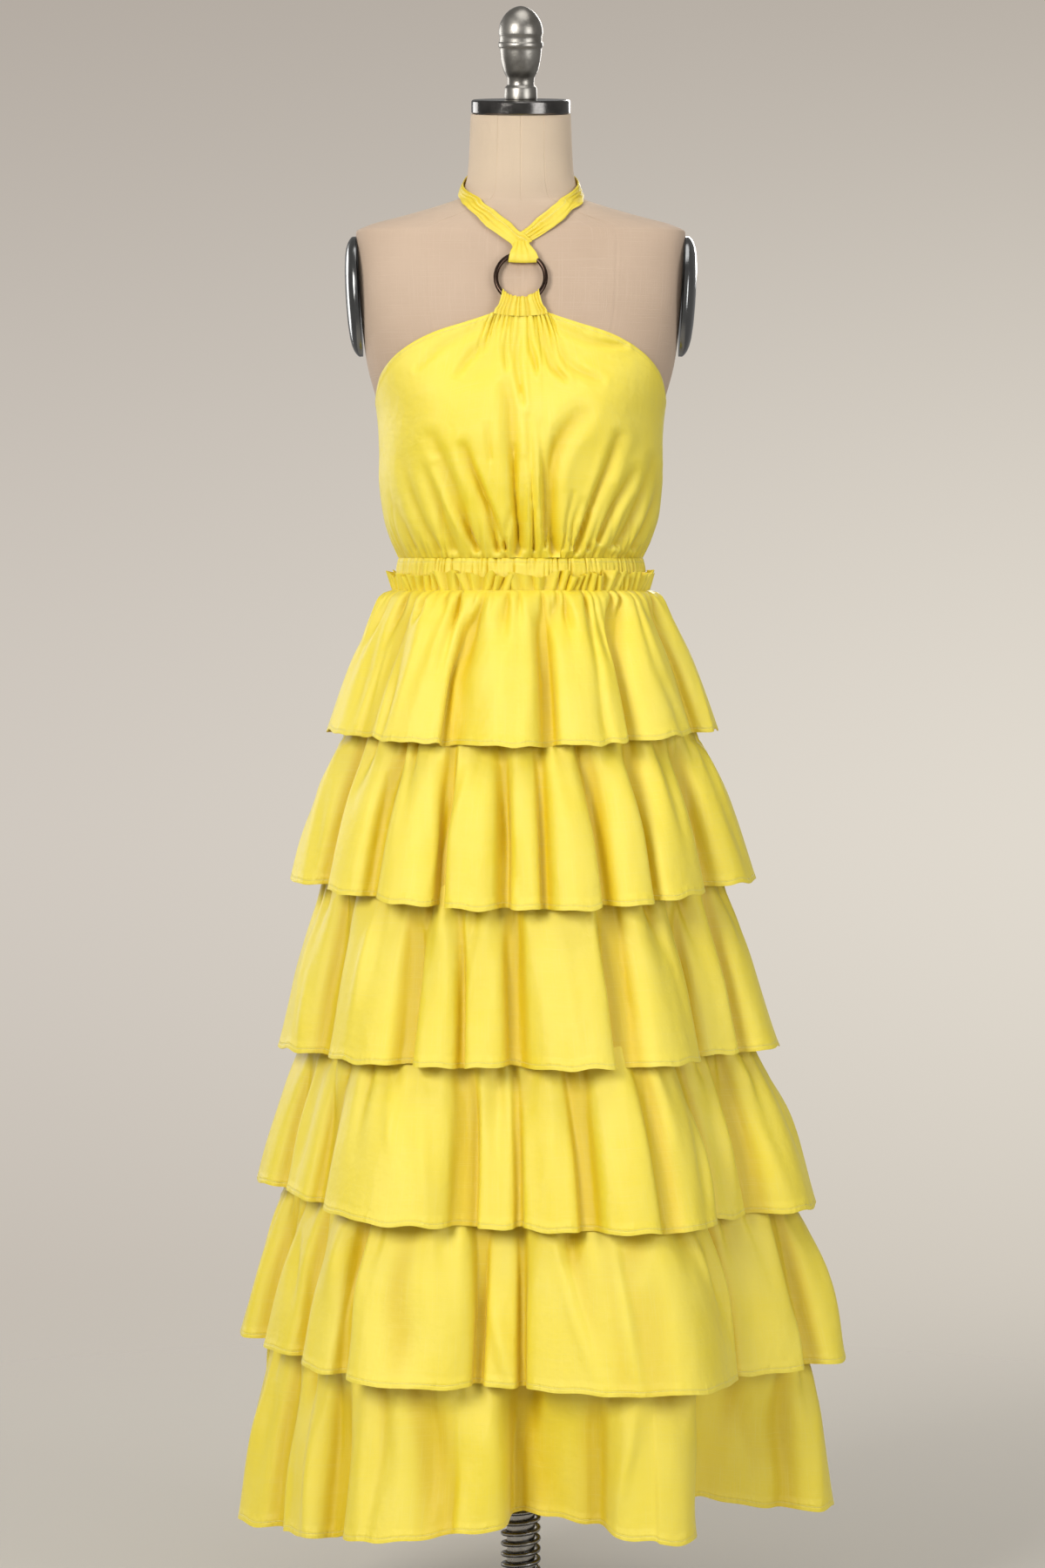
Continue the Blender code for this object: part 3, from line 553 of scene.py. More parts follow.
def formPoint(azimuth, height, out=0.0):
    azimuth, height, out = np.broadcast_arrays(*(np.asarray(v, float) for v in (azimuth, height, out)))
    side, fore = np.sin(np.radians(azimuth)), np.cos(np.radians(azimuth))
    power = 2.0 / formMeasure("squareness", height)
    depth = np.where(fore >= 0, formMeasure("front", height), formMeasure("back", height))
    bust = formShape["bust"]
    turn = np.abs(turnFrom(azimuth, 0))
    swell = bell(turn - bust["azimuth"], bust["width"])
    swell = swell * bell(height - bust["height"], bust["spread"]) * bust["depth"]
    x = (formMeasure("halfWidth", height) + out) * np.sign(side) * np.abs(side) ** power
    y = -(depth + swell + out) * np.sign(fore) * np.abs(fore) ** power
    tilt = np.tan(np.radians(formMeasure("tilt", height)))
    return np.stack([x, y + formMeasure("centre", height), height + tilt * y], -1)


def azimuthAt(x, height):
    share = np.clip(np.abs(x) / formMeasure("halfWidth", height), 0, 1)
    return np.sign(x) * np.degrees(np.arcsin(share ** (formMeasure("squareness", height) / 2)))


def makeForm():
    seams = np.array(formShape["seams"], float)
    even = np.arange(formShape["columns"]) * 360 / formShape["columns"]
    apart = np.abs(turnFrom(even[:, None], seams)).min(axis=1)
    beside = (seams[:, None] + np.array([-1.6, -0.7, 0, 0.7, 1.6])).ravel()
    azimuth = np.sort(np.concatenate([even[apart > 2.2], beside % 360]))
    heights = []
    for low, high in zip(formShape["height"], formShape["height"][1:]):
        heights += list(np.linspace(low, high, formShape["rowsBetween"], endpoint=False))
    heights = np.array(heights + [formShape["height"][-1]])
    near = np.abs(turnFrom(azimuth[:, None], seams)).min(axis=1)
    sunk = formShape["seamDepth"] * (0.45 * bell(near - 0.7, 0.5) - bell(near, 0.35))
    rings = formPoint(azimuth[None, :], heights[:, None], sunk[None, :])
    rows, cols = rings.shape[:2]
    u = np.append(azimuth, 360) / 360 * 0.95
    uv = np.stack(np.broadcast_arrays(u[None, :], heights[:, None] * 0.001), -1)
    corners = np.stack([uv[:-1, :-1], uv[:-1, 1:], uv[1:, 1:], uv[1:, :-1]], -2).reshape(-1, 2)
    caps = np.concatenate([uv[0, :cols][::-1], uv[-1, :cols]])
    body = addMesh("form_body", rings.reshape(-1, 3), quadsOf(rows, cols) + endCaps(rows, cols),
                   formLinen, np.concatenate([corners, caps]), 55)
    settle(body, "form_cloth", "form_torso")


capLook = {
    "up": 0.3, "profile": [(0, 52.5), (0.7, 54.2), (1.8, 55), (13.4, 55), (14.8, 54.2), (15.5, 52.8)],
}
finialLook = {
    "up": 16.1, "profile": [
        (0, 18), (1.2, 18.4), (3, 18.4), (12, 17.8), (13.6, 17.2), (15, 15.6), (16, 15.0),
        (20, 15.0), (23, 15.2), (25.5, 16.2), (29, 18.2), (33.5, 19.8), (38, 20.9), (43, 22.0),
        (48, 22.7), (53, 23.1), (55.6, 23.2), (56.4, 23.6), (57.2, 24.5), (58.6, 24.9),
        (61.2, 24.9), (62.4, 24.4), (63, 23.6), (66, 23.5), (69.4, 23.6), (70.2, 24.3),
        (72.5, 24.6), (76, 24.4), (80, 23.8), (85, 22.1), (90, 19.4), (94, 16.3), (97.5, 12.4),
        (100.2, 7.6), (101.6, 3.4), (102, 0),
    ],
}
plateLook = {
    "height": 1532, "halfTall": 67, "halfDeep": 47, "offset": 180.6, "splay": 3.3, "columns": 72, "back": 1,
    "profile": [(1, 0), (1, 3.6), (0.994, 4.6), (0.98, 5.6), (0.95, 7.4), (0.9, 9.4),
                (0.82, 11.4), (0.7, 13), (0.5, 14.3), (0.28, 14.9), (0.1, 15.1)],
}


def makeNeckAndPlates():
    lean, top = formShape["tilt"][-1], formShape["height"][-1]
    front, back = formPoint(0, top), formPoint(180, top)
    axis = np.array([0, -math.sin(math.radians(lean)), math.cos(math.radians(lean))])
    middle = (front + back) / 2
    cap = lathe("neck_plate", capLook["profile"], 96, neckChrome, 25, middle + axis * capLook["up"], lean)
    settle(cap, "dark_metal", "neck_cap")
    knob = lathe("neck_finial", finialLook["profile"], 72, pewter, 40,
                 middle + axis * finialLook["up"], lean)
    settle(knob, "bright_metal", "finial")
    look = plateLook
    count = look["columns"]
    turn = roundTurns(count)
    splay = math.radians(look["splay"])
    shares, outs = (np.array(column, float)[:, None] for column in zip(*look["profile"]))
    out = np.broadcast_to(outs, (len(outs), count))
    fore = look["halfDeep"] * shares * np.cos(turn)
    high = look["halfTall"] * shares * np.sin(turn)
    faces = quadsOf(len(outs), count) + endCaps(len(outs), count)
    for side, node in ((-1, "armhole_plate_right"), (1, "armhole_plate_left")):
        x = side * (out * math.cos(splay) + high * math.sin(splay) + look["offset"])
        z = high * math.cos(splay) - out * math.sin(splay) + look["height"]
        points = np.stack([x, side * fore - look["back"], z], -1).reshape(-1, 3)
        plate = addMesh("armhole_cover_" + node.split("_")[-1], points, faces, plateSteel, None, 30)
        settle(plate, "dark_metal", node)


footLook = {
    "profile": [(0, 226), (0.8, 228.4), (3, 230), (11, 230), (13.6, 228.6), (17, 222), (19.5, 200),
                (21.6, 170), (24, 135), (27, 104), (31, 72), (36, 46), (41, 36.5), (47, 33.6),
                (54, 32.4), (58, 31.6), (59.6, 30.4), (60, 29)],
}
poleLook = {"profile": [(60.3, 16), (961.7, 16)]}
collarLook = {
    "columns": 64,
    "profile": [(198.1, 23.8), (199, 25), (213.1, 25), (214.1, 23.8), (214.1, 16.3), (198.1, 16.3)],
}
springLook = {"mean": 20.5, "wire": 2.6, "pitch": 12.0, "turns": 11, "steps": 28, "sides": 10, "start": 63.2}


def makeStand():
    settle(lathe("stand_foot", footLook["profile"], 120, standIron, 30), "painted_iron", "stand_base")
    settle(lathe("stand_pole", poleLook["profile"], 56, springSteel, 30), "bright_metal", "pole")
    rings, count = collarLook["profile"], collarLook["columns"]
    turn = roundTurns(count)
    points = np.concatenate([np.stack([r * np.cos(turn), r * np.sin(turn), np.full(count, h)], -1)
                             for h, r in rings])
    faces = quadsOf(len(rings), count, True)
    settle(addMesh("spring_seat", points, faces, springSteel, None, 30), "bright_metal", "spring_collar")

    look = springLook
    total = look["turns"] * look["steps"] + 1
    turn = 2 * np.pi * np.arange(total) / look["steps"]
    radial = np.stack([np.cos(turn), np.sin(turn), np.zeros(total)], -1)
    middle = radial * look["mean"]
    middle[:, 2] = look["start"] + look["pitch"] * np.arange(total) / look["steps"]
    spin = -roundTurns(look["sides"])[None, :, None]
    upward = np.array([0, 0, 1.0])
    rings = middle[:, None] + look["wire"] * (radial[:, None] * np.cos(spin) + upward * np.sin(spin))
    # each face starts a corner later here, so that it splits along its other diagonal
    faces = [face[1:] + face[:1] for face in quadsOf(total, look["sides"])]
    faces += endCaps(total, look["sides"])
    coil = addMesh("coil_spring", rings.reshape(-1, 3), faces, springSteel, None, 60)
    settle(coil, "bright_metal", "buffer_spring")


makeForm()
makeNeckAndPlates()
makeStand()
print("form and stand made")


# The skirt: a plain underskirt and six gathered tiers that are sewn to it

waistSeam, liningHem = 1204, 366
skirtShape = {
    "height": [140, 366, 549, 721, 893, 1062, 1204],
    "halfWidth": [300, 282, 261, 231, 211, 180, 142],
    "halfDepth": [267, 248, 227, 196, 175, 143, 105],
    "shift": [18, 18, 16, 8, 2, 0, 0],
    "fluteShare": [1.2, 1.0, 0.8, 0.45, 0.15, 0, 0],
    "flutes": [(-82, 6), (-64, -8), (-34, 12), (-6, -38), (26, 20), (53, -40), (76, 8), (100, 6),
               (124, -34), (150, 10), (176, -36), (206, 12), (236, -34), (262, 8)],
}


def skirtPoint(azimuth, height, out):
    azimuth, height, out = np.broadcast_arrays(*(np.asarray(v, float) for v in (azimuth, height, out)))
    measure = {field: curveThrough(skirtShape["height"], skirtShape[field], height)
               for field in ("halfWidth", "halfDepth", "shift", "fluteShare")}
    keys, values = zip(*skirtShape["flutes"])
    out = out + wavesRound(keys, values, azimuth) * measure["fluteShare"]
    turn = np.radians(azimuth)
    x = measure["shift"] + (measure["halfWidth"] + out) * np.sin(turn)
    y = -(measure["halfDepth"] + out) * np.cos(turn)
    return np.stack([x, y, height], -1)


# folds are (azimuth, out, rise, lean): crests and valleys at the hem, and how far one leans sideways;
# behind is (pairs, crest, valley) of the folds at the back, gathers are (count, depth, reach), and
# tears are single creases (azimuth, width, depth, middle, length) below the seam
tierLook = {
    "tier_1": {
        "top": waistSeam, "hem": 1036, "sideRise": (12, 12), "behind": (7, 36, 15), "seed": 21,
        "gathers": (54, 12.5, 62), "cut": (1.50, 0.185),
        "tears": [(-42, 2.6, 7, 20, 16), (-26, 2.2, 7, 20, 16), (-17, 2.8, 10, 42, 30), (-6, 2.2, 8, 38, 20),
                  (13, 2.4, 8, 24, 20), (19, 1.8, 6, 28, 14), (33, 2.6, 9, 52, 26), (40, 2.6, 9, 55, 45),
                  (67, 3.0, 8, 38, 32)],
        "folds": [(-88, 27), (-68, 38), (-52, 29), (-35, 39), (-16, 13, 0, -7), (-4, 39),
                  (8, 12, 0, 1), (19, 37), (44, 13, 0, -10), (55, 37, 0, -3), (66, 17, 0, 2), (82, 38)],
    },
    "tier_2": {
        "top": 1062, "hem": 861, "sideRise": (20, 20), "behind": (8, 46, 17), "seed": 22,
        "gathers": (62, 11.5, 92), "cut": (1.94, 0.211),
        "folds": [(-76, 48), (-63, 20), (-52, 42), (-43, 22), (-32, 47, 0, 2), (-22, 16),
                  (-13, 46, 0, -1), (-4.5, 18), (1, 40), (5.5, 22), (12, 46, 0, 1.5), (21.5, 16),
                  (29, 44, 0, 1.5), (34.5, 24), (43, 46, 0, 1), (59, 17), (80, 48)],
    },
    "tier_3": {
        "top": 893, "hem": 691, "sideRise": (2, 2), "behind": (8, 44, 17), "seed": 23,
        "gathers": (64, 11.5, 96), "cut": (1.98, 0.217),
        "folds": [(-76, 46), (-59, 24), (-45, 40), (-30, 16), (-22.5, 38), (-17, 20),
                  (-12, 44, 0, 0), (-4, 17), (8, 44, 0, 2), (23, 16), (37, 44, 0, 2), (49, 19),
                  (57, 36, 0, 1.5), (65, 18), (80, 44)],
    },
    "tier_4": {
        "top": 721, "hem": 518, "sideRise": (22, -5), "behind": (8, 46, 18), "seed": 24,
        "gathers": (68, 11.5, 96), "cut": (2.17, 0.217), "streaks": (50, 5.6),
        "tears": [(-35, 3.0, 9, 45, 35), (-9, 2.4, 8, 70, 45), (-1, 2.2, 7, 60, 40), (28, 3.0, 9, 70, 50),
                  (42.5, 2.4, 8, 40, 40)],
        "folds": [(-82, 44), (-73, 24), (-64, 40), (-56, 22), (-38, 46, 0, 2), (-15, 17),
                  (-9, 38), (-4, 24), (1, 42), (12, 17), (20, 40), (27, 26), (37, 42, 0, 1.5),
                  (46, 22), (52, 34, 0, 1.5), (61, 18), (82, 44)],
    },
    "tier_5": {
        "top": 549, "hem": 348, "sideRise": (18, -11), "behind": (8, 48, 18), "seed": 25,
        "gathers": (72, 11.5, 94), "cut": (2.37, 0.216), "streaks": (46, 6.6),
        "tears": [(-54, 3.0, 8, 70, 50), (-41, 3.0, 8, 60, 45), (-30, 3.0, 9, 110, 60), (8, 2.6, 8, 40, 30),
                  (22, 2.4, 7, 40, 28), (40, 2.6, 9, 90, 50)],
        "folds": [(-84, 46), (-75, 22), (-66, 44), (-57, 20), (-49, 42), (-41, 20), (-33, 44),
                  (-21, 46, 0, 2), (-13.5, 17), (-8, 32), (-3.5, 18), (3, 44, 0, -1), (19, 36),
                  (42, 46, 0, 2.5), (50, 24), (60, 42), (73, 18), (88, 56)],
    },
    "tier_6": {
        "top": 376, "hem": 186, "sideRise": (-30, -18), "behind": (8, 30, 2), "seed": 26,
        "gathers": (74, 11.5, 90), "cut": (2.31, 0.209), "streaks": (44, 7.0),
        "tears": [(-44, 3.4, 9, 100, 80), (-32, 3.6, 11, 95, 75), (-24, 3.2, 10, 100, 70),
                  (-7.5, 3.4, 9, 90, 60), (-1, 3.0, 8, 70, 50), (48, 4.0, 9, 60, 50)],
        "clear": ([0, 11, 24, 60], [0.9, 1.4, -30, -60]),
        "folds": [(-80, 32), (-68, 13), (-56, 22), (-48, -4), (-26, 18, 3), (-20, 14, 3),
                  (-13, 32, 8, 1.5), (-6, -28, 14), (6, -22, 12), (14, -26, 12), (19, 8, 3),
                  (27, 12), (38, -20, 12), (54, -36, 22), (71, -24, 8), (88, 30)],
    },
}
tierCommon = {
    "columns": 800, "rows": 33, "cloth": 0.9, "hemCloth": (1.035, 1.4, 1.4),
    "crest": 1.10, "valley": 0.46, "under": 1.1, "puff": 10.5, "puffFrom": 4, "puffFade": 62,
    "down": [0, 26, 60, 105, 200], "mean": [0, 0.16, 0.40, 0.64, 1], "fold": [0, 0.22, 0.62, 0.90, 1],
    "clear": ([0, 12, 60, 120, 150, 200], [0.6, 0.8, 2.5, 6, 10, 12.5]),
    "cap": ([0, 6, 28, 44, 80], [8, 12, 14, 28, 70]), "streaks": (50, 4.4),
    "hemWaves": (17, 29, 43), "hemWave": (0.5, 1.1), "hemRows": (7.5, 6.0, 1.0), "rowPower": 1.1,
    "waistStart": (6, 12), "flowHalf": 32, "meanHalf": 45, "levelHalf": 24,
    "nearest": (0.5, 6), "farthest": (1.0, 8), "swing": (0.1, 0.62), "gap": (0.8, 0.75),
    # painted shade: the fold depths that get full shade at the seam and at the hem, and the shade painted
    # all over
    "paintedShadeDepth": (4, 11), "paintedShadeStart": 0.16,
}
gatherLook = {
    "stray": 0.4, "slant": 0.02, "length": (0.35, 1.3), "width": (0.9, 1.9), "deep": (0.35, 1.0),
    "valleys": 0.72, "ridge": 0.7, "fan": (0.6, 0.9, 1.3), "fanReach": 0.5, "fadePower": 2.4,
    "onset": 4, "tearOnset": 5,
}
streakLook = {
    "stray": 0.4, "slant": 0.05, "centre": (50, 170), "length": (35, 85), "width": (1.4, 3.6),
    "deep": (0.3, 1.2),
}


behindLook = {"uneven": 2.2, "unevenRate": 2.4, "lower": 3, "lean": 1.6, "leanRate": 1.7}


def foldsRound(look):
    # the folds in front, then a row of like ones behind
    front = [tuple(fold) + (0,) * (4 - len(fold)) for fold in look["folds"]]
    pairs, crest, valley = look["behind"]
    first, last = front[-1][0], front[0][0] + 360
    count = 2 * pairs - 1
    behind, spec = [], behindLook
    for i in range(1, count + 1):
        uneven = spec["uneven"] * math.sin(spec["unevenRate"] * i + look["top"])
        lean = spec["lean"] * math.sin(spec["leanRate"] * i + look["top"])
        azimuth = first + (last - first) * i / (count + 1) + uneven
        crestOut = crest - spec["lower"] * abs(uneven)
        behind.append((azimuth, valley, 0, 0) if i % 2 else (azimuth, crestOut, 0, lean))
    return front + behind


def foldLine(keys, radius, columns):
    # a closed line of folds: broad round crests, tighter valleys and steep flanks between them
    azimuth, out = keys.T[:2]
    after = np.roll(keys, -1, 0)
    gap = (after[:, 0] - azimuth) % 360
    crest = out > (np.roll(out, 1) + np.roll(out, -1)) / 2
    handle = np.where(crest, tierCommon["crest"], tierCommon["valley"])
    t = np.linspace(0, 1, 40, endpoint=False)[None, :]
    ease = t * t * (3 - 2 * t)
    first, last = (gap * handle)[:, None], (gap * (1 - np.roll(handle, -1)))[:, None]
    run = 3 * (1 - t) ** 2 * t * first + 3 * (1 - t) * t ** 2 * last + t ** 3 * gap[:, None]
    line = [(azimuth[0] + (np.concatenate([[0], np.cumsum(gap)[:-1]])[:, None] + run)).ravel()]
    for k in (1, 2, 3):
        line.append((keys[:, k, None] + (after[:, k] - keys[:, k])[:, None] * ease).ravel())
    line = np.array(line)
    line = np.concatenate([line, line[:, :1] + np.array([[360.0], [0], [0], [0]])], axis=1)
    moved = np.hypot(np.radians(np.diff(line[0])) * radius, np.diff(line[1]))
    along = np.concatenate([[0], np.cumsum(moved)])
    even = np.arange(columns) * along[-1] / columns
    return [np.interp(even, along, row) for row in line]


def roundMean(values, half):
    # a running mean round the skirt
    padded = np.concatenate([values[-half:], values, values[:half]])
    return np.convolve(padded, np.ones(2 * half + 1) / (2 * half + 1), "valid")


def gatherRelief(azimuth, down, look, dice):
    # small creases that fan out below the seam, each in its own size, and a few long soft ones lower down
    relief = np.zeros((len(down), len(azimuth)))
    drop = down[:, None]

    def awayFrom(i, count, spec):
        spot = (i + dice.uniform(-spec["stray"], spec["stray"])) * 360 / count
        return turnFrom(azimuth, spot + dice.uniform(-spec["slant"], spec["slant"]) * drop)

    spec = gatherLook
    start, more, most = spec["fan"]
    count, depth, reach = look["gathers"]
    for i in range(count):
        away = awayFrom(i, count, spec)
        length = reach * dice.uniform(*spec["length"])
        fan = start + more * np.clip(drop / (spec["fanReach"] * length), 0, most)
        broad = dice.uniform(*spec["width"]) * fan
        deep = depth * dice.uniform(*spec["deep"])
        deep *= -1 if dice.random() < spec["valleys"] else spec["ridge"]
        fade = np.exp(-(drop / length) ** spec["fadePower"]) * grown(drop, spec["onset"])
        relief += deep * bell(away, broad) * fade
    for spot, broad, deep, centre, length in look.get("tears", []):
        fade = bell(drop - centre, length) * grown(drop, spec["tearOnset"])
        relief -= deep * bell(turnFrom(azimuth, spot), broad) * fade
    spec = streakLook
    count, depth = look.get("streaks", tierCommon["streaks"])
    for i in range(count):
        away = awayFrom(i, count, spec)
        centre, length = dice.uniform(*spec["centre"]), dice.uniform(*spec["length"])
        broad = dice.uniform(*spec["width"])
        deep = depth * dice.uniform(*spec["deep"]) * dice.choice([-1, 1])
        relief += deep * bell(away, broad) * bell(drop - centre, length)
    return relief


def tierGrid(look):
    common = tierCommon
    dice = np.random.default_rng(look["seed"])
    radius = skirtPoint(90, look["hem"], 30)[0]
    azimuth, out, rise, lean = foldLine(np.array(foldsRound(look)), radius, common["columns"])
    even = np.arange(common["columns"]) * 360 / common["columns"] + azimuth[0]
    above = even + roundMean(azimuth - even, common["flowHalf"])
    side = np.sin(np.radians(azimuth))
    right, left = look["sideRise"]
    hem = look["hem"] + rise + side ** 2 * np.where(side < 0, right, left)
    for waves in common["hemWaves"]:
        size = dice.uniform(*common["hemWave"])
        hem = hem + size * np.sin(np.radians(azimuth * waves) + dice.uniform(0, 6))
    length = look["top"] - look["hem"]
    lowest, turned, edge = common["hemRows"]
    steps = np.linspace(0, 1, common["rows"] - 3) ** common["rowPower"] * (1 - lowest / length)
    steps = np.concatenate([steps, [1 - turned / length, 1 - edge / length, 1.0]])
    down = steps * length
    scaled = down * 200 / length
    if look["top"] == waistSeam:
        start, over = common["waistStart"]
        scaled = scaled + start * grown(down, over)
    share, foldShare = (curveThrough(common["down"], common[k], np.minimum(scaled, 200))[:, None]
                        for k in ("mean", "fold"))
    mean = roundMean(out, common["meanHalf"])
    stand = mean * share + (out - mean) * foldShare * np.where(out < mean, common["under"], 1.0)
    puff = common["puff"] * grown(down, common["puffFrom"]) * np.exp(-down / common["puffFade"])
    stand = stand + puff[:, None] + gatherRelief(above, down, look, dice)
    least = np.interp(down, *look.get("clear", common["clear"]))[:, None]
    past, over = common["nearest"]
    stand = np.where(stand < least, least - past * grown(least - stand, over), stand)
    if look["top"] != waistSeam:
        most = np.interp(down, *common["cap"])[:, None]
        past, over = common["farthest"]
        stand = np.where(stand > most, most + past * grown(stand - most, over), stand)
    start, over = common["swing"]
    turn = above + (azimuth + lean - above) * np.clip((share - start) / over, 0, 1)
    height = look["top"] - (look["top"] - hem) * steps[:, None]
    # painted shade: darker where the cloth sinks below the running level of its folds, most near each tier's
    # top, plus a little everywhere
    level = np.array([roundMean(row, common["levelHalf"]) for row in stand])
    shallow, deeper = common["paintedShadeDepth"]
    paintedShade = np.clip((level - stand) / (shallow + deeper * share) + common["paintedShadeStart"], 0, 1)
    paintedShade = paintedShade ** 2 * (3 - 2 * paintedShade)
    gap, wider = common["gap"]
    return skirtPoint(turn, height, gap + share * wider + stand), steps, paintedShade


def makeTier(name, look):
    grid, steps, paintedShade = tierGrid(look)
    thick = np.full((len(steps), 1), tierCommon["cloth"])
    thick[-3:, 0] = tierCommon["hemCloth"]
    drops = (1 - steps) * look["cut"][1]
    piece = sewn("ruffle_" + name, name, look, grid, hemmedPoplin, drops, paintedShade, True, thick)
    fall = np.linalg.norm(np.diff(grid, axis=0), axis=2).sum(axis=0).mean()
    print(name, "hem line", round(lineLength(grid[-1])), "fall", round(fall))


underskirtLook = {"columns": 180, "rows": 26, "cloth": 0.8, "cut": (1.70, 0.86), "area": 1.20}


def makeUnderskirt():
    look = underskirtLook
    azimuth = np.arange(look["columns"]) * 360 / look["columns"]
    heights = np.linspace(waistSeam, liningHem, look["rows"])
    grid = skirtPoint(azimuth[None, :], heights[:, None], -0.6)
    drops = (heights - liningHem) * 0.001
    piece = sewn("skirt_lining", "underskirt", look, grid, hemmedPoplin, drops, None, True)


# The waist: an elastic casing with a small ruffle standing on its lower seam

waistLook = {
    "casing": {"seed": 5, "columns": 820, "rows": 13, "top": 1239.8, "low": 1204.5, "out": 3.0,
               "barrel": 3.6, "barrelPower": 0.7, "spare": 0.6, "paintedShadeDepth": 3.5,
               "cloth": 0.9, "cut": (0.86, 0.040), "puckers": 170, "stray": 0.35, "slant": 0.8,
               "centres": [-0.1, 1.1, 0.5], "chances": [0.36, 0.36, 0.28], "reach": (0.35, 0.8),
               "depth": 3.0, "deep": (0.5, 1.15), "width": (0.42, 0.72), "least": 1.2},
    "frill": {"seed": 8, "columns": 1300, "rows": 8, "low": 1202.4, "high": 1224.5, "waves": 80,
              "foot": 7.0, "wavePower": 0.6, "clear": 1.0, "paintedShade": (0.35, 0.6),
              "seamWave": 1.2, "wave": 5.4, "flare": 6.2, "gaps": (0.5, 1.6), "sizes": (0.35, 1.25),
              "leans": (-3.4, 3.4), "flareStray": 2.2, "curl": 0.45, "tops": (-6.5, 2.6),
              "cloth": 0.7, "cut": (1.65, 0.0225)},
}


def casingOut(share):
    # how far the puffed casing stands off the form, from its top seam (0) to its lower one (1)
    look = waistLook["casing"]
    return look["out"] + look["barrel"] * np.sin(np.pi * np.clip(share, 0, 1)) ** look["barrelPower"]


def makeCasing():
    look = waistLook["casing"]
    dice = np.random.default_rng(look["seed"])
    count, stray = look["puckers"], look["stray"]
    azimuth = np.arange(look["columns"]) * 360 / look["columns"]
    share = np.linspace(0, 1, look["rows"])
    low = share[:, None]
    relief = np.zeros((look["rows"], look["columns"]))
    for spot in (np.arange(count) + dice.uniform(-stray, stray, count)) * 360 / count:
        away = turnFrom(azimuth, spot + dice.uniform(-look["slant"], look["slant"]) * low)
        centre = dice.choice(look["centres"], p=look["chances"])
        fade = bell(low - centre, dice.uniform(*look["reach"]))
        deep = look["depth"] * dice.uniform(*look["deep"])
        relief -= deep * bell(away, dice.uniform(*look["width"])) * fade
    out = np.maximum(casingOut(low) + look["spare"] + relief, look["least"])
    grid = formPoint(azimuth, look["top"] + (look["low"] - look["top"]) * low, out)
    drops = share * look["cut"][1]
    # painted shade in the puckers, darker where they sink deeper
    piece = sewn("waist_band", "waist_casing", look, grid, edgedPoplin, drops,
                 -relief / look["paintedShadeDepth"], True)


def makeFrill():
    look, casing = waistLook["frill"], waistLook["casing"]
    dice = np.random.default_rng(look["seed"])
    azimuth = np.arange(look["columns"]) * 360 / look["columns"]
    folds = look["waves"] * 2
    gaps = dice.uniform(*look["gaps"], folds)
    keys = np.cumsum(gaps) / gaps.sum() * 360
    sizes = np.where(np.arange(folds) % 2, -1.0, 1.0) * dice.uniform(*look["sizes"], folds)
    wave = wavesRound(keys, sizes, azimuth)
    slope = (np.roll(wave, -1) - np.roll(wave, 1)) * look["columns"] / 720
    lean = wavesRound(keys[::2], dice.uniform(*look["leans"], look["waves"]), azimuth)
    stray = wavesRound(keys[::3], dice.uniform(-1, 1, len(keys[::3])), azimuth)
    share = np.linspace(1, 0, look["rows"])[:, None]
    swing = look["seamWave"] + (look["wave"] - look["seamWave"]) * share ** look["wavePower"]
    out = look["foot"] + share * (look["flare"] + look["flareStray"] * stray) + wave * swing
    turn = azimuth + share * (lean - look["curl"] * slope)
    tall = look["high"] - look["low"] + wavesRound(keys, dice.uniform(*look["tops"], folds), azimuth)
    height = look["low"] + tall * share
    inside = casingOut((casing["top"] - height) / (casing["top"] - casing["low"]))
    grid = formPoint(turn, height, np.maximum(out, inside + look["clear"]))
    drops = (1 - share) * look["cut"][1]
    # painted shade: a base level all over the frill, darker in the troughs of its waves
    level, deep = look["paintedShade"]
    piece = sewn("waist_ruffle", "waist_frill", look, grid, plainPoplin, drops, level - deep * wave, True)
    print("frill edge", round(lineLength(grid[0])))


for tierName, tierParts in tierLook.items():
    makeTier(tierName, tierParts)
makeUnderskirt()
makeCasing()
makeFrill()
print("skirt and waist made")


# The bodice: creases are lines of (x, z) on its front with a depth and a half width

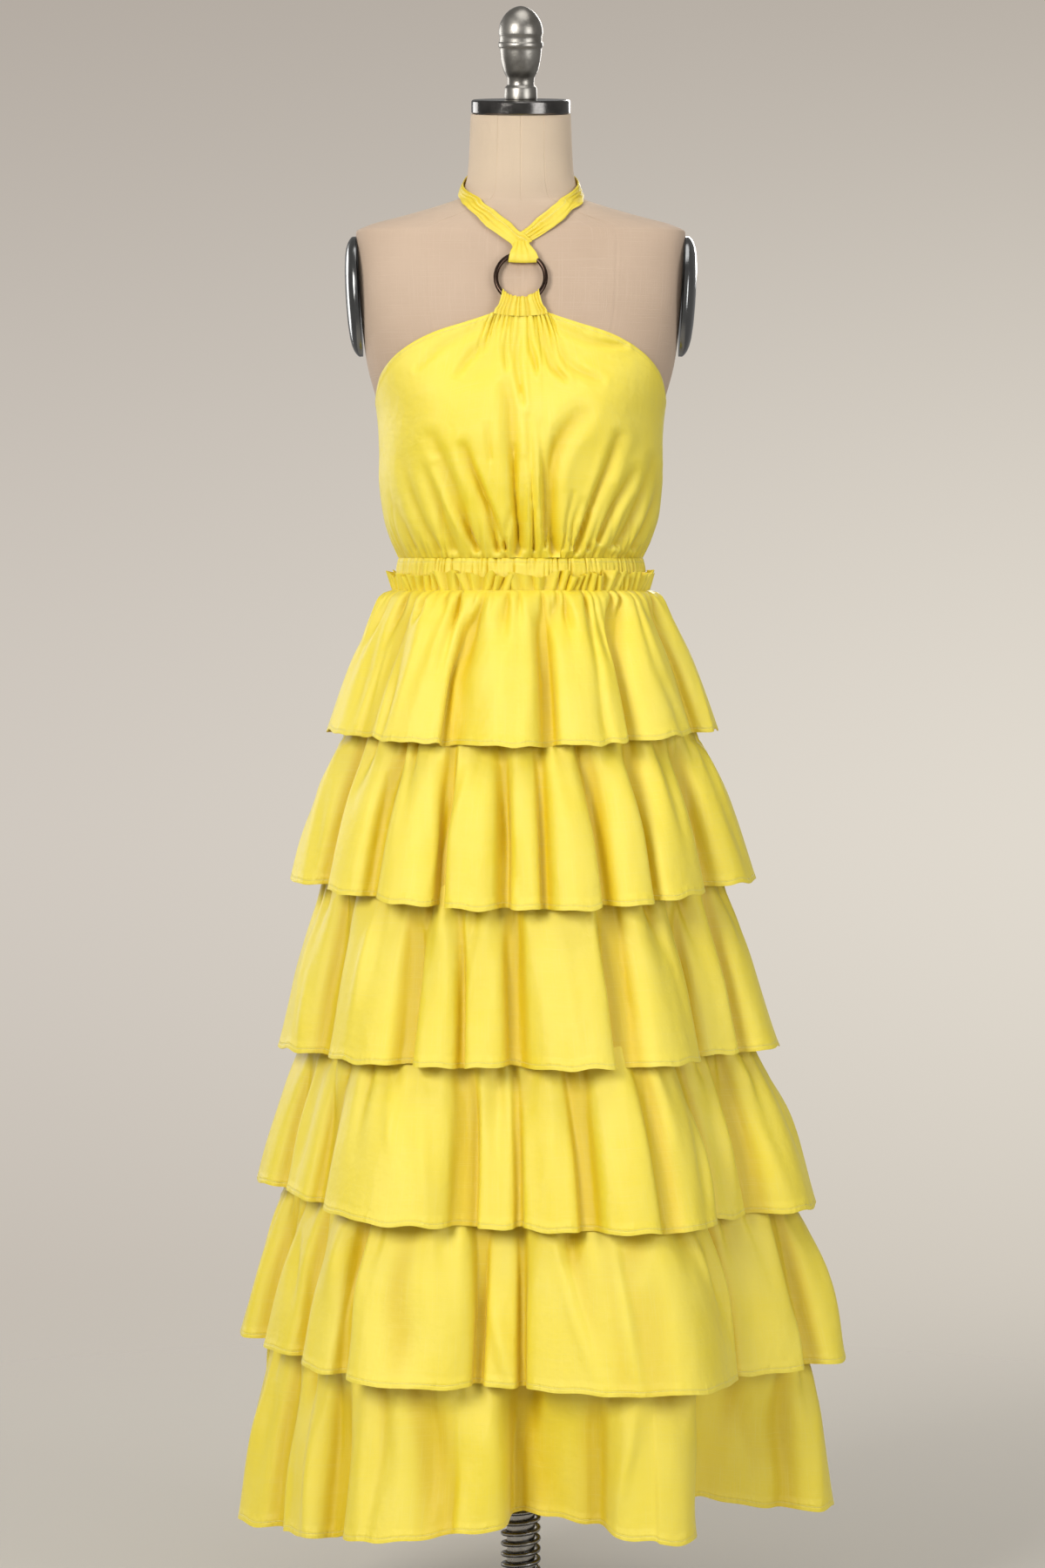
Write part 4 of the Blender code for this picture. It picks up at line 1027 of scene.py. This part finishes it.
bodiceLook = {
    "seed": 31, "columns": 250, "rows": 88, "cloth": 0.9, "edgeCloth": 1.7, "waist": 1240.3, "fall": 270,
    "least": 1.1, "halfTurn": 95, "underarm": (0.10, 0.45), "ringHalf": 0.3, "lead": 1.6,
    "edgeDip": 1.6, "edgeOver": 6, "paintedShadeDepth": 6,
    "waistPuckers": {"count": 62, "stray": 0.35, "span": 1, "width": (0.007, 0.016), "reach": (8, 30),
                     "long": (0.35, 2.2), "deep": (1.4, 4.2)},
    "ringPuckers": {"count": 15, "stray": 0.3, "span": 0.30, "width": (0.008, 0.014),
                    "reach": (20, 64), "deep": (2.2, 4.6)},
    "edge": [(0, 0, 1513), (0.09, 1.2, 1513), (0.18, 2.6, 1512), (0.23, 3.6, 1510.5),
             (0.28, 4.8, 1508), (0.34, 7.0, 1504.5), (0.42, 12.6, 1498), (0.55, 25, 1487),
             (0.7, 42.5, 1468), (0.82, 59.5, 1445), (0.92, 75, 1422), (1.0, 95, 1404)],
    "ease": [(1240, 4.5), (1249, 8.5), (1260, 13), (1285, 18.5), (1320, 20), (1360, 14),
             (1407, 6), (1460, 4), (1500, 6), (1513, 6.5)],
    "cut": (0.50, 0.30), "area": 0.125,
    "creases": [
        ([(-15, 1424), (-11, 1393), (-9, 1355), (-7, 1312), (-4, 1274), (-3, 1248)], 9.5, 6.0),
        ([(-2, 1491), (-5, 1465), (-2, 1436), (3, 1408)], 5.4, 3.6),
        ([(8, 1491), (12, 1470), (18, 1444)], 4.7, 3.0),
        ([(21, 1489), (28, 1467), (36, 1448), (49, 1435)], 6.1, 4.2),
        ([(37, 1250), (33, 1283), (33, 1326), (40, 1360), (52, 1381), (66, 1397)], 10.8, 7.5),
        ([(62, 1250), (70, 1272), (83, 1307), (96, 1338), (108, 1372)], 10.1, 4.6),
        ([(87, 1260), (100, 1291), (114, 1315), (127, 1335)], 7.4, 4.6),
        ([(108, 1255), (124, 1286), (136, 1315), (147, 1348)], 6.8, 4.8),
        ([(54, 1252), (58, 1276), (67, 1301)], 4.7, 2.8),
        ([(-26, 1250), (-33, 1279), (-43, 1310), (-54, 1338), (-61, 1362)], 8.1, 5.0),
        ([(-49, 1250), (-63, 1286), (-74, 1317), (-86, 1346), (-97, 1372)], 6.8, 5.2),
        ([(-75, 1250), (-83, 1274), (-94, 1307), (-103, 1334)], 4.9, 5.0),
        ([(15, 1250), (12, 1330), (9, 1392)], 5.0, 2.8),
        ([(-1, 1250), (-6, 1310), (-8, 1361)], 5.6, 2.6),
        ([(27, 1252), (25, 1330), (22, 1387)], 5.2, 2.9),
        ([(-16, 1250), (-26, 1278), (-46, 1320), (-64, 1361)], 5.4, 3.0),
        ([(-50, 1250), (-74, 1299), (-92, 1340)], 4.6, 3.0),
        ([(75, 1250), (84, 1280), (100, 1318)], 4.2, 2.7),
        ([(48, 1250), (50, 1276), (58, 1310)], 3.8, 2.4),
        ([(101, 1252), (112, 1280), (124, 1306)], 4.2, 2.8),
        ([(-17, 1250), (-15, 1272), (-11, 1291)], 4.1, 2.4),
        ([(-21, 1494), (-36, 1479), (-55, 1460), (-70, 1441)], 3.0, 5.0),
        ([(-24, 1499), (-58, 1485), (-89, 1470), (-113, 1448)], 2.4, 5.0),
        ([(33, 1496), (59, 1483), (88, 1474), (114, 1472)], 3.0, 4.4),
        ([(30, 1482), (45, 1460), (64, 1444), (88, 1434)], 3.5, 5.0),
        ([(4, 1250), (2, 1279), (3, 1312), (4, 1346)], 4.6, 3.0),
        ([(-36, 1384), (-35, 1365), (-33, 1346)], 2.7, 3.0),
        ([(-14, 1491), (-17, 1470), (-15, 1446)], 3.5, 3.2),
        ([(126, 1252), (138, 1276), (149, 1307), (154, 1336)], 4.6, 4.0),
        ([(-91, 1250), (-108, 1279), (-122, 1315), (-130, 1346)], 3.0, 5.0),
        ([(-118, 1250), (-130, 1276), (-141, 1304)], 2.4, 4.0),
    ],
}


creaseLook = {
    "steps": 60, "frontOver": 20, "waistBelow": 1262, "end": 1.15, "endPower": 0.7, "start": 0.25,
    "waistStart": 0.4, "startOver": 0.45, "width": (0.75, 0.6), "ridge": 0.30, "ridgeAt": 2.1,
}


def creaseRelief(points, creases):
    # soft troughs along the lines, fading at both ends, with the cloth raised a little beside them
    relief = np.zeros(points.shape[:2])
    x, z = points[..., 0], points[..., 2]
    look = creaseLook
    front = np.clip(-points[..., 1] / look["frontOver"], 0, 1)
    fine = np.linspace(0, 1, look["steps"])
    narrow, wider = look["width"]
    for line, deep, half in creases:
        line = np.array(line, float)
        keys = np.linspace(0, 1, len(line))
        pathX, pathZ = (curveThrough(keys, line[:, k], fine) for k in (0, 1))
        apart = np.hypot(x[..., None] - pathX, z[..., None] - pathZ)
        gap, along = apart.min(axis=-1), fine[apart.argmin(axis=-1)]
        starts, ends = line[0][1], line[-1][1]
        if starts > ends:
            along = 1 - along
        begun = look["start"] + (look["waistStart"] if min(starts, ends) < look["waistBelow"] else 0)
        taper = np.clip(look["end"] - along, 0, 1) ** look["endPower"]
        taper = taper * np.clip((along + begun) / look["startOver"], 0, 1)
        width = half * (narrow + wider * along)
        ridge = look["ridge"] * bell(gap - look["ridgeAt"] * width, width)
        relief += deep * front * taper * (ridge - bell(gap, width))
    return relief


def puckers(across, away, spec, dice):
    # short puckers at a sewn edge, from the distances across the cloth and away from the edge
    relief = np.zeros((len(away), len(across)))
    count, stray = spec["count"], spec["stray"]
    for i in range(count):
        spot = spec["span"] * (-1 + 2 * (i + dice.uniform(-stray, stray) + 0.5) / count)
        wide, reach = dice.uniform(*spec["width"]), dice.uniform(*spec["reach"])
        if "long" in spec:
            chance, longer = spec["long"]
            reach *= longer if dice.random() < chance else 1
        relief -= dice.uniform(*spec["deep"]) * bell(across - spot, wide) * bell(away, reach)[:, None]
    return relief


def panelThickness(look):
    # the top edge is turned over, so its rows are thicker
    thick = np.full((look["rows"], 1), look["cloth"])
    thick[:3] = look["edgeCloth"]
    return thick


def underarmShare(across, share):
    # the cloth lies closer to the form at the underarm seams
    width, closer = bodiceLook["underarm"]
    return 1 - closer * bell(1 - np.abs(across), width) * share ** 0.5


def bodiceEase(height):
    heights, eases = zip(*bodiceLook["ease"])
    return curveThrough(heights, eases, height)


def makeBodiceFront():
    look = bodiceLook
    dice = np.random.default_rng(look["seed"])
    across = np.linspace(-1, 1, look["columns"] + 1)
    keys, turns, tops = zip(*look["edge"])
    topTurn = np.sign(across) * curveThrough(keys, turns, np.abs(across))
    topHeight = curveThrough(keys, tops, np.abs(across))
    t = np.linspace(0, 1, look["rows"])
    share = (1 - (0.75 * t + 0.25 * (1 - np.cos(np.pi * t)) / 2))[:, None]
    height = look["waist"] + (topHeight - look["waist"]) * share
    lead = share ** look["lead"]
    azimuth = look["halfTurn"] * across * (1 - lead) + topTurn * lead
    fromWaist = share[:, 0] * look["fall"]
    fromTop = look["fall"] - fromWaist
    out = bodiceEase(height) * underarmShare(across, share)
    relief = creaseRelief(formPoint(azimuth, height, out), look["creases"])
    relief += puckers(across, fromWaist, look["waistPuckers"], dice)
    relief += puckers(across, fromTop, look["ringPuckers"], dice)
    dip = look["edgeDip"] * np.exp(-fromTop / look["edgeOver"])[:, None]
    edge = dip * (np.abs(across) > look["ringHalf"])
    grid = formPoint(azimuth, height, np.maximum(out + relief - edge, look["least"]))
    # painted shade in the creases and puckers, darker where they sink deeper
    piece = sewn("bodice_front_panel", "bodice_front", look, grid, edgedPoplin, fromTop * 0.001,
                 -relief / look["paintedShadeDepth"], False, panelThickness(look))


backLook = {
    "seed": 37, "columns": 170, "rows": 44, "cloth": 0.9, "edgeCloth": 1.7, "fall": 140, "least": 1.2,
    "paintedShadeDepth": 5, "edge": [(0, 95.2, 1402), (0.5, 130, 1384), (1, 180, 1374)],
    "cut": (0.55, 0.15), "area": 0.075,
    "ease": (0.9, 0.6), "from": 95, "span": 170, "gathers": 34, "stray": 0.35, "slant": 0.02,
    "fromWaist": 0.6, "reach": (25, 110), "deep": (1.2, 4.2), "width": (0.9, 2.4),
}


def makeBodiceBack():
    look = backLook
    dice = np.random.default_rng(look["seed"])
    half = np.linspace(0, 1, look["columns"] // 2 + 1)
    keys, turns, tops = zip(*look["edge"])
    turn, top = curveThrough(keys, turns, half), curveThrough(keys, tops, half)
    azimuth = np.concatenate([turn, 360 - turn[-2::-1]])
    top = np.concatenate([top, top[-2::-1]])
    share = np.linspace(1, 0, look["rows"])[:, None]
    height = bodiceLook["waist"] + (top - bodiceLook["waist"]) * share
    eased, spare = look["ease"]
    out = (bodiceEase(height) * eased + spare) * underarmShare(np.linspace(-1, 1, len(azimuth)), share)
    down = (1 - share) * look["fall"]
    relief = np.zeros((look["rows"], len(azimuth)))
    count, stray = look["gathers"], look["stray"]
    for i in range(count):
        spot = look["from"] + look["span"] * (i + dice.uniform(-stray, stray) + 0.5) / count
        away = azimuth - spot - dice.uniform(-look["slant"], look["slant"]) * down
        fromSeam = look["fall"] - down if dice.random() < look["fromWaist"] else down
        fade = bell(fromSeam, dice.uniform(*look["reach"]))
        relief -= dice.uniform(*look["deep"]) * bell(away, dice.uniform(*look["width"])) * fade
    grid = formPoint(azimuth, height, np.maximum(out + relief, look["least"]))
    # painted shade in the gathers, darker where they sink deeper
    piece = sewn("bodice_back_panel", "bodice_back", look, grid, edgedPoplin, down * 0.001,
                 -relief / look["paintedShadeDepth"], False, panelThickness(look))


makeBodiceFront()
makeBodiceBack()
print("bodice made")


# The ring, the gathered header that holds it, and the halter strap

ringLook = {"height": 1546.0, "radius": 27.3, "tube": 2.7, "lift": 6.6, "around": 120, "sides": 20}


def chestFrame():
    half = ringLook["radius"]
    low, high = formPoint(0, ringLook["height"] - half), formPoint(0, ringLook["height"] + half)
    up = (high - low) / np.linalg.norm(high - low)
    out = np.cross(np.array([1.0, 0, 0]), up)
    return (low + high) / 2 + out * ringLook["lift"], up, out


ringCentre, ringUp, ringOut = chestFrame()


def onChest(across, up, out):
    # points from distances across, up and out of the ring's centre
    across, up, out = np.broadcast_arrays(*(np.asarray(v, float) for v in (across, up, out)))
    return (ringCentre + across[..., None] * np.array([1.0, 0, 0])
            + up[..., None] * ringUp + out[..., None] * ringOut)


def makeRing():
    count, sides = ringLook["around"], ringLook["sides"]
    turn, spin = roundTurns(count), roundTurns(sides)
    radius = ringLook["radius"] + ringLook["tube"] * np.cos(spin)[None, :]
    points = onChest(radius * np.sin(turn)[:, None], -radius * np.cos(turn)[:, None],
                     np.broadcast_to(ringLook["tube"] * np.sin(spin), (count, sides)))
    faces = [face[:1] + face[:0:-1] for face in quadsOf(count, sides, True)]
    piece = addMesh("metal_ring", points.reshape(-1, 3), faces, ringBronze, None, 80)
    settle(piece, "ring_metal", "ring")


headerLook = {
    "seed": 41, "columns": 110, "rows": 38, "cloth": 0.8, "cut": (0.074, 0.037),
    "halfArc": 48, "tubeGap": 0.8,
    # share along, spread, up and out, the last two from the ring's centre or from its tube
    "path": [(0.00, 1.46, -45.5, 0.5, "centre"), (0.14, 1.38, -40.5, 1.6, "centre"),
             (0.3, 1.20, -33.0, 3.0, "centre"), (0.44, 1.0, 0.6, 4.3, "tube"),
             (0.53, 0.99, 3.9, 3.0, "tube"), (0.6, 0.99, 5.0, 0.4, "tube"),
             (0.67, 0.99, 3.8, -2.4, "tube"), (0.76, 1.0, 0.4, -4.1, "tube"),
             (0.88, 1.08, -31.5, -3.9, "centre"), (1.00, 1.15, -36, -3.9, "centre")],
    "pleats": 11, "stray": 0.3, "slant": 0.05, "deep": (0.8, 1.7), "width": (0.035, 0.065), "raised": 0.45,
}


def makeHeader():
    # cloth that goes up the front, over the ring's lower arc and down behind it
    look = headerLook
    dice = np.random.default_rng(look["seed"])
    u = np.linspace(-1, 1, look["columns"])
    t = np.linspace(0, 1, look["rows"])
    arc = np.radians(look["halfArc"] * u)
    tubeUp, tubeAcross = -ringLook["radius"] * np.cos(arc), ringLook["radius"] * np.sin(arc)
    rows = []
    for along, spread, up, out, start in look["path"]:
        bow = 3 * u ** 2 if along < 0.2 else 0
        level = up + bow if start == "centre" else tubeUp + up - look["tubeGap"]
        rows.append([tubeAcross * spread, np.broadcast_to(level, len(u)), np.full(len(u), out)])
    keys = [row[0] for row in look["path"]]
    across, up, out = (np.stack([curveThrough(keys, field[:, c], t) for c in range(len(u))], 1)
                       for field in np.array(rows).transpose(1, 0, 2))
    grid = onChest(across, up, out)[::-1]
    normal = -gridNormals(grid, False)
    if (normal[-8, len(u) // 2] @ ringOut) < 0:
        normal = -normal
    pleat = np.full((look["rows"], len(u)), look["raised"])
    count, stray, slant = look["pleats"], look["stray"], look["slant"]
    for i in range(count):
        spot = -1 + 2 * (i + dice.uniform(-stray, stray) + 0.5) / count
        away = u - spot - dice.uniform(-slant, slant) * t[:, None]
        pleat -= dice.uniform(*look["deep"]) * bell(away, dice.uniform(*look["width"]))
    grid = grid + normal * pleat[..., None]
    # painted shade: a base level all over the header, darker in its pleats
    piece = sewn("ring_header", "bodice_ring_sleeve", look, grid, plainPoplin,
                 t[::-1] * look["cut"][1], 0.30 + (0.3 - pleat) / 1.2)


strapLook = {
    "along": 170, "acrossRows": 19, "cloth": 1.0, "cut": (0.24, 0.0185), "backGap": 0.3, "crown": 1.3,
    "wander": (0.05, 1.3), "swell": (0.6, 0.5, 1.9), "tighter": 1.6, "least": 1.0, "paintedShade": (0.32, 0.9),
    "back": [(180, 1676, 1657, 2.0), (150, 1675, 1656, 2.0), (122, 1671, 1652, 2.2), (104, 1665, 1648, 2.6)],
    "right": [(61, 1659, 69, 1646, 3.0), (44, 1641, 58, 1630, 3.4), (26.5, 1624, 44.5, 1615, 3.8),
              (10, 1609, 27, 1598, 4.4), (-5, 1595, 10, 1585, 5.8), (-12, 1588, 8, 1581, 6.6)],
    "left": [(60.5, 1659, 67, 1643, 3.2), (46, 1643, 53, 1625, 4.4), (31, 1628, 37, 1606, 3.6),
             (16, 1614, 22, 1595, 2.2), (2, 1600, 8, 1587, 1.8), (-5, 1594, 2, 1584, 1.7)],
    "ridges": [(0.18, 1.2, 0.10), (0.42, 1.6, 0.12), (0.68, 1.4, 0.11), (0.88, 0.9, 0.08)],
}


def makeStrap(name, side, stations, node, seed):
    look = strapLook
    dice = np.random.default_rng(seed)
    upper, lower = [], []
    for azimuth, high, low, lift in look["back"]:
        short = azimuth - (look["backGap"] if azimuth == 180 else 0)
        upper.append((short, high, lift))
        lower.append((short, low, lift))
    for highX, high, lowX, low, lift in stations:
        upper.append((float(azimuthAt(highX, high)), high, lift))
        lower.append((float(azimuthAt(lowX, low)), low, lift))
    upper, lower = np.array(upper), np.array(lower)
    keys = np.arange(len(upper))
    fine = np.linspace(0, len(upper) - 1, look["along"])
    width = np.linspace(0, 1, look["acrossRows"])
    starts = [dice.uniform(0, 6) for _ in look["ridges"]]
    drift, driftRate = look["wander"]
    mean, swing, rate = look["swell"]
    level, sunk = look["paintedShade"]
    grid, paintedShade = [], []
    for share in width:
        line = upper + (lower - upper) * share
        azimuth, height, lift = (curveThrough(keys, line[:, k], fine) for k in range(3))
        fold = np.zeros(len(fine))
        for (spot, deep, wide), start in zip(look["ridges"], starts):
            away = share - spot - drift * np.sin(fine * driftRate + start)
            swell = mean + swing * np.sin(fine * rate + start * 2)
            fold -= deep * swell * bell(away, wide / look["tighter"])
        crown = look["crown"] * math.sin(math.pi * share) ** 0.5
        grid.append(formPoint(side * azimuth, height, np.maximum(lift + crown + fold, look["least"])))
        # painted shade: a base level all over the strap, darker in its ridged folds
        paintedShade.append(level - sunk * fold)
    grid, paintedShade = np.array(grid), np.array(paintedShade)
    if side > 0:
        grid, paintedShade = grid[:, ::-1], paintedShade[:, ::-1]
    piece = sewn(name, node, look, grid, edgedPoplin, width * look["cut"][1], paintedShade)



loopLook = {
    "columns": 60, "rows": 60, "cloth": 0.9, "cut": (0.034, 0.052), "sag": 1.0, "edge": 1.2, "behind": 0.3,
    # share along, middle across, half width, up and out, from the ring's centre
    "path": [(0.00, 1.2, 7.6, 42.0, 1.0), (0.08, 1.2, 8.2, 39.0, 1.6), (0.22, 2.0, 11.6, 32.5, 3.4),
             (0.34, 2.8, 14.6, 26.5, 4.1), (0.44, 3.3, 16.4, 20.5, 2.8), (0.5, 3.3, 16.8, 17.8, 0.6),
             (0.56, 3.3, 16.4, 19.2, -1.8), (0.68, 2.6, 13.6, 26.5, -4.0), (0.82, 1.8, 10.5, 33, -3.9),
             (1.00, 1.2, 7.6, 40, -3.4)],
    "creases": [(-0.55, 0.9), (-0.05, 0.7), (0.42, 1.0)], "width": 0.13, "reach": 0.42,
}


def makeLoop():
    # the strap's end: down over the ring's top, through it, and back up behind
    look = loopLook
    w = np.linspace(-1, 1, look["columns"])
    t = np.linspace(0, 1, look["rows"])[:, None]
    keys, *fields = np.array(look["path"]).T
    middle, half, up, out = (curveThrough(keys, field, t) for field in fields)
    sag = look["sag"] * (1 - w ** 2) * bell(t - 0.5, 0.2)
    crease = sum(-deep * bell(w - spot, look["width"]) for spot, deep in look["creases"])
    crease = crease * bell(t, look["reach"])
    relief = (crease - look["edge"] * np.abs(w) ** 6) * np.where(t < 0.5, 1.0, look["behind"])
    grid = onChest(middle + half * w, up - sag, out + relief)
    # painted shade: a base level all over the loop, darker in its creases
    piece = sewn("strap_loop", "strap_ring_sleeve", look, grid, plainPoplin, t * look["cut"][1],
                 0.2 - 0.8 * crease)


makeRing()
makeHeader()
makeStrap("halter_strap_right", -1, strapLook["right"], "strap_right", 51)
makeStrap("halter_strap_left", 1, strapLook["left"], "strap_left", 52)
makeLoop()
print("ring and strap made")


# The studio: a pale floor that fades into an even backdrop all round, and soft lights

studioLook = {
    "floor": (0.60, 0.565, 0.51), "surface": {"Roughness": 0.95, "Specular IOR Level": 0.1},
    "solid": 0.6, "gone": 2.6, "spare": 1.02, "rings": 24, "sectors": 96,
    # the backdrop's colours are painted light and shade: brighter on the right, darker above and at the
    # bottom
    "left": (0.62, 0.57, 0.515), "right": (0.76, 0.71, 0.63),
    "upper": (0.40, 0.355, 0.31), "lower": (0.43, 0.385, 0.325),
    "sideways": (-0.2, 0.2), "above": (-0.08, 0.24), "below": (-0.36, -0.06),
    "ambient": 0.24, "ambientColour": (1.0, 0.985, 0.96, 1.0),
}
lightLook = [
    # name, place, aim, width, height, watts, colour
    ("keyLight", (-2.1, -3.2, 2.5), (0, 0, 1.0), 1.4, 1.7, 109, (1.0, 0.985, 0.96)),
    ("fillLight", (2.9, -3.2, 1.8), (0, 0, 0.9), 2.0, 2.2, 66, (0.98, 0.99, 1.0)),
    ("topLight", (0.3, -0.7, 3.9), (0, 0, 1.0), 1.8, 1.8, 22, (1.0, 1.0, 1.0)),
    ("backKeyLight", (0.9, 3.9, 2.6), (0, 0, 1.0), 1.2, 1.6, 66, (1.0, 0.99, 0.97)),
    ("backFillLight", (-2.9, 2.7, 1.8), (0, 0, 0.9), 1.8, 2.0, 44, (1.0, 1.0, 1.0)),
]


def makeFloor():
    # a disc that is solid under the part and fades out round it
    look = studioLook
    made, tree, shader = newMaterial("paleFloor")
    spots = tree.nodes.new("ShaderNodeTexCoord")
    tone = noise(tree, spots.outputs["Object"], 0.6, 2.0)
    shade = tuple(v * 0.96 for v in look["floor"])
    tree.links.new(blendColour(tree, tone, shade, look["floor"]), shader.inputs["Base Color"])
    away = tree.nodes.new("ShaderNodeVectorMath")
    away.operation = "LENGTH"
    tree.links.new(spots.outputs["Object"], away.inputs[0])
    fade = ranged(tree, away.outputs["Value"], look["solid"], look["gone"], 1.0, 0.0, True)
    tree.links.new(fade, shader.inputs["Alpha"])
    finishSurface(shader, look["surface"])
    rings, sectors = look["rings"], look["sectors"]
    reach = 1000 * look["gone"] * look["spare"] * np.arange(1, rings + 1)[:, None] / rings
    turn = roundTurns(sectors)
    points = np.stack([reach * np.cos(turn), reach * np.sin(turn), np.zeros((rings, sectors))], -1)
    points = np.concatenate([np.zeros((1, 3)), points.reshape(-1, 3)])
    faces = [[0, 1 + i, 1 + (i + 1) % sectors] for i in range(sectors)]
    faces += [[1 + spot for spot in face[::-1]] for face in quadsOf(rings, sectors)]
    addMesh("studio_floor", points, faces, made, None, 60)


def makeBackdrop():
    # the world lights the part evenly, and the camera sees a painted gradient of light and shade in its
    # place, lighter to the right and darker towards the top and the bottom
    look = studioLook
    world = bpy.data.worlds.new("studioWorld")
    world.use_nodes = True
    tree = world.node_tree
    plain = tree.nodes["Background"]
    plain.inputs["Color"].default_value = look["ambientColour"]
    plain.inputs["Strength"].default_value = look["ambient"]
    spots = tree.nodes.new("ShaderNodeTexCoord")
    side, height = splitUp(tree, spots.outputs["Generated"], "X", "Z")
    across = ranged(tree, side, *look["sideways"], 0.0, 1.0, True)
    high = ranged(tree, height, *look["above"], 0.0, 1.0, True)
    low = ranged(tree, height, *look["below"], 1.0, 0.0, True)
    colour = blendColour(tree, across, look["left"], look["right"])
    colour = blendColour(tree, high, colour, look["upper"])
    colour = blendColour(tree, low, colour, look["lower"])
    seen = tree.nodes.new("ShaderNodeBackground")
    tree.links.new(colour, seen.inputs["Color"])
    path = tree.nodes.new("ShaderNodeLightPath")
    either = tree.nodes.new("ShaderNodeMixShader")
    tree.links.new(path.outputs["Is Camera Ray"], either.inputs[0])
    tree.links.new(plain.outputs[0], either.inputs[1])
    tree.links.new(seen.outputs[0], either.inputs[2])
    tree.links.new(either.outputs[0], tree.nodes["World Output"].inputs["Surface"])
    bpy.context.scene.world = world


def makeStudio():
    makeFloor()
    makeBackdrop()
    for name, spot, aim, wide, tall, watts, colour in lightLook:
        data = bpy.data.lights.new(name, "AREA")
        data.shape = "RECTANGLE"
        data.size, data.size_y = wide, tall
        data.energy = watts
        data.color = colour
        lamp = bpy.data.objects.new(name, data)
        lamp.location = spot
        lamp.rotation_euler = (Vector(aim) - Vector(spot)).to_track_quat("-Z", "Y").to_euler()
        lamp.visible_camera = False
        bpy.context.scene.collection.objects.link(lamp)
    bpy.context.scene.view_settings.view_transform = "Standard"


makeStudio()
print("studio made")
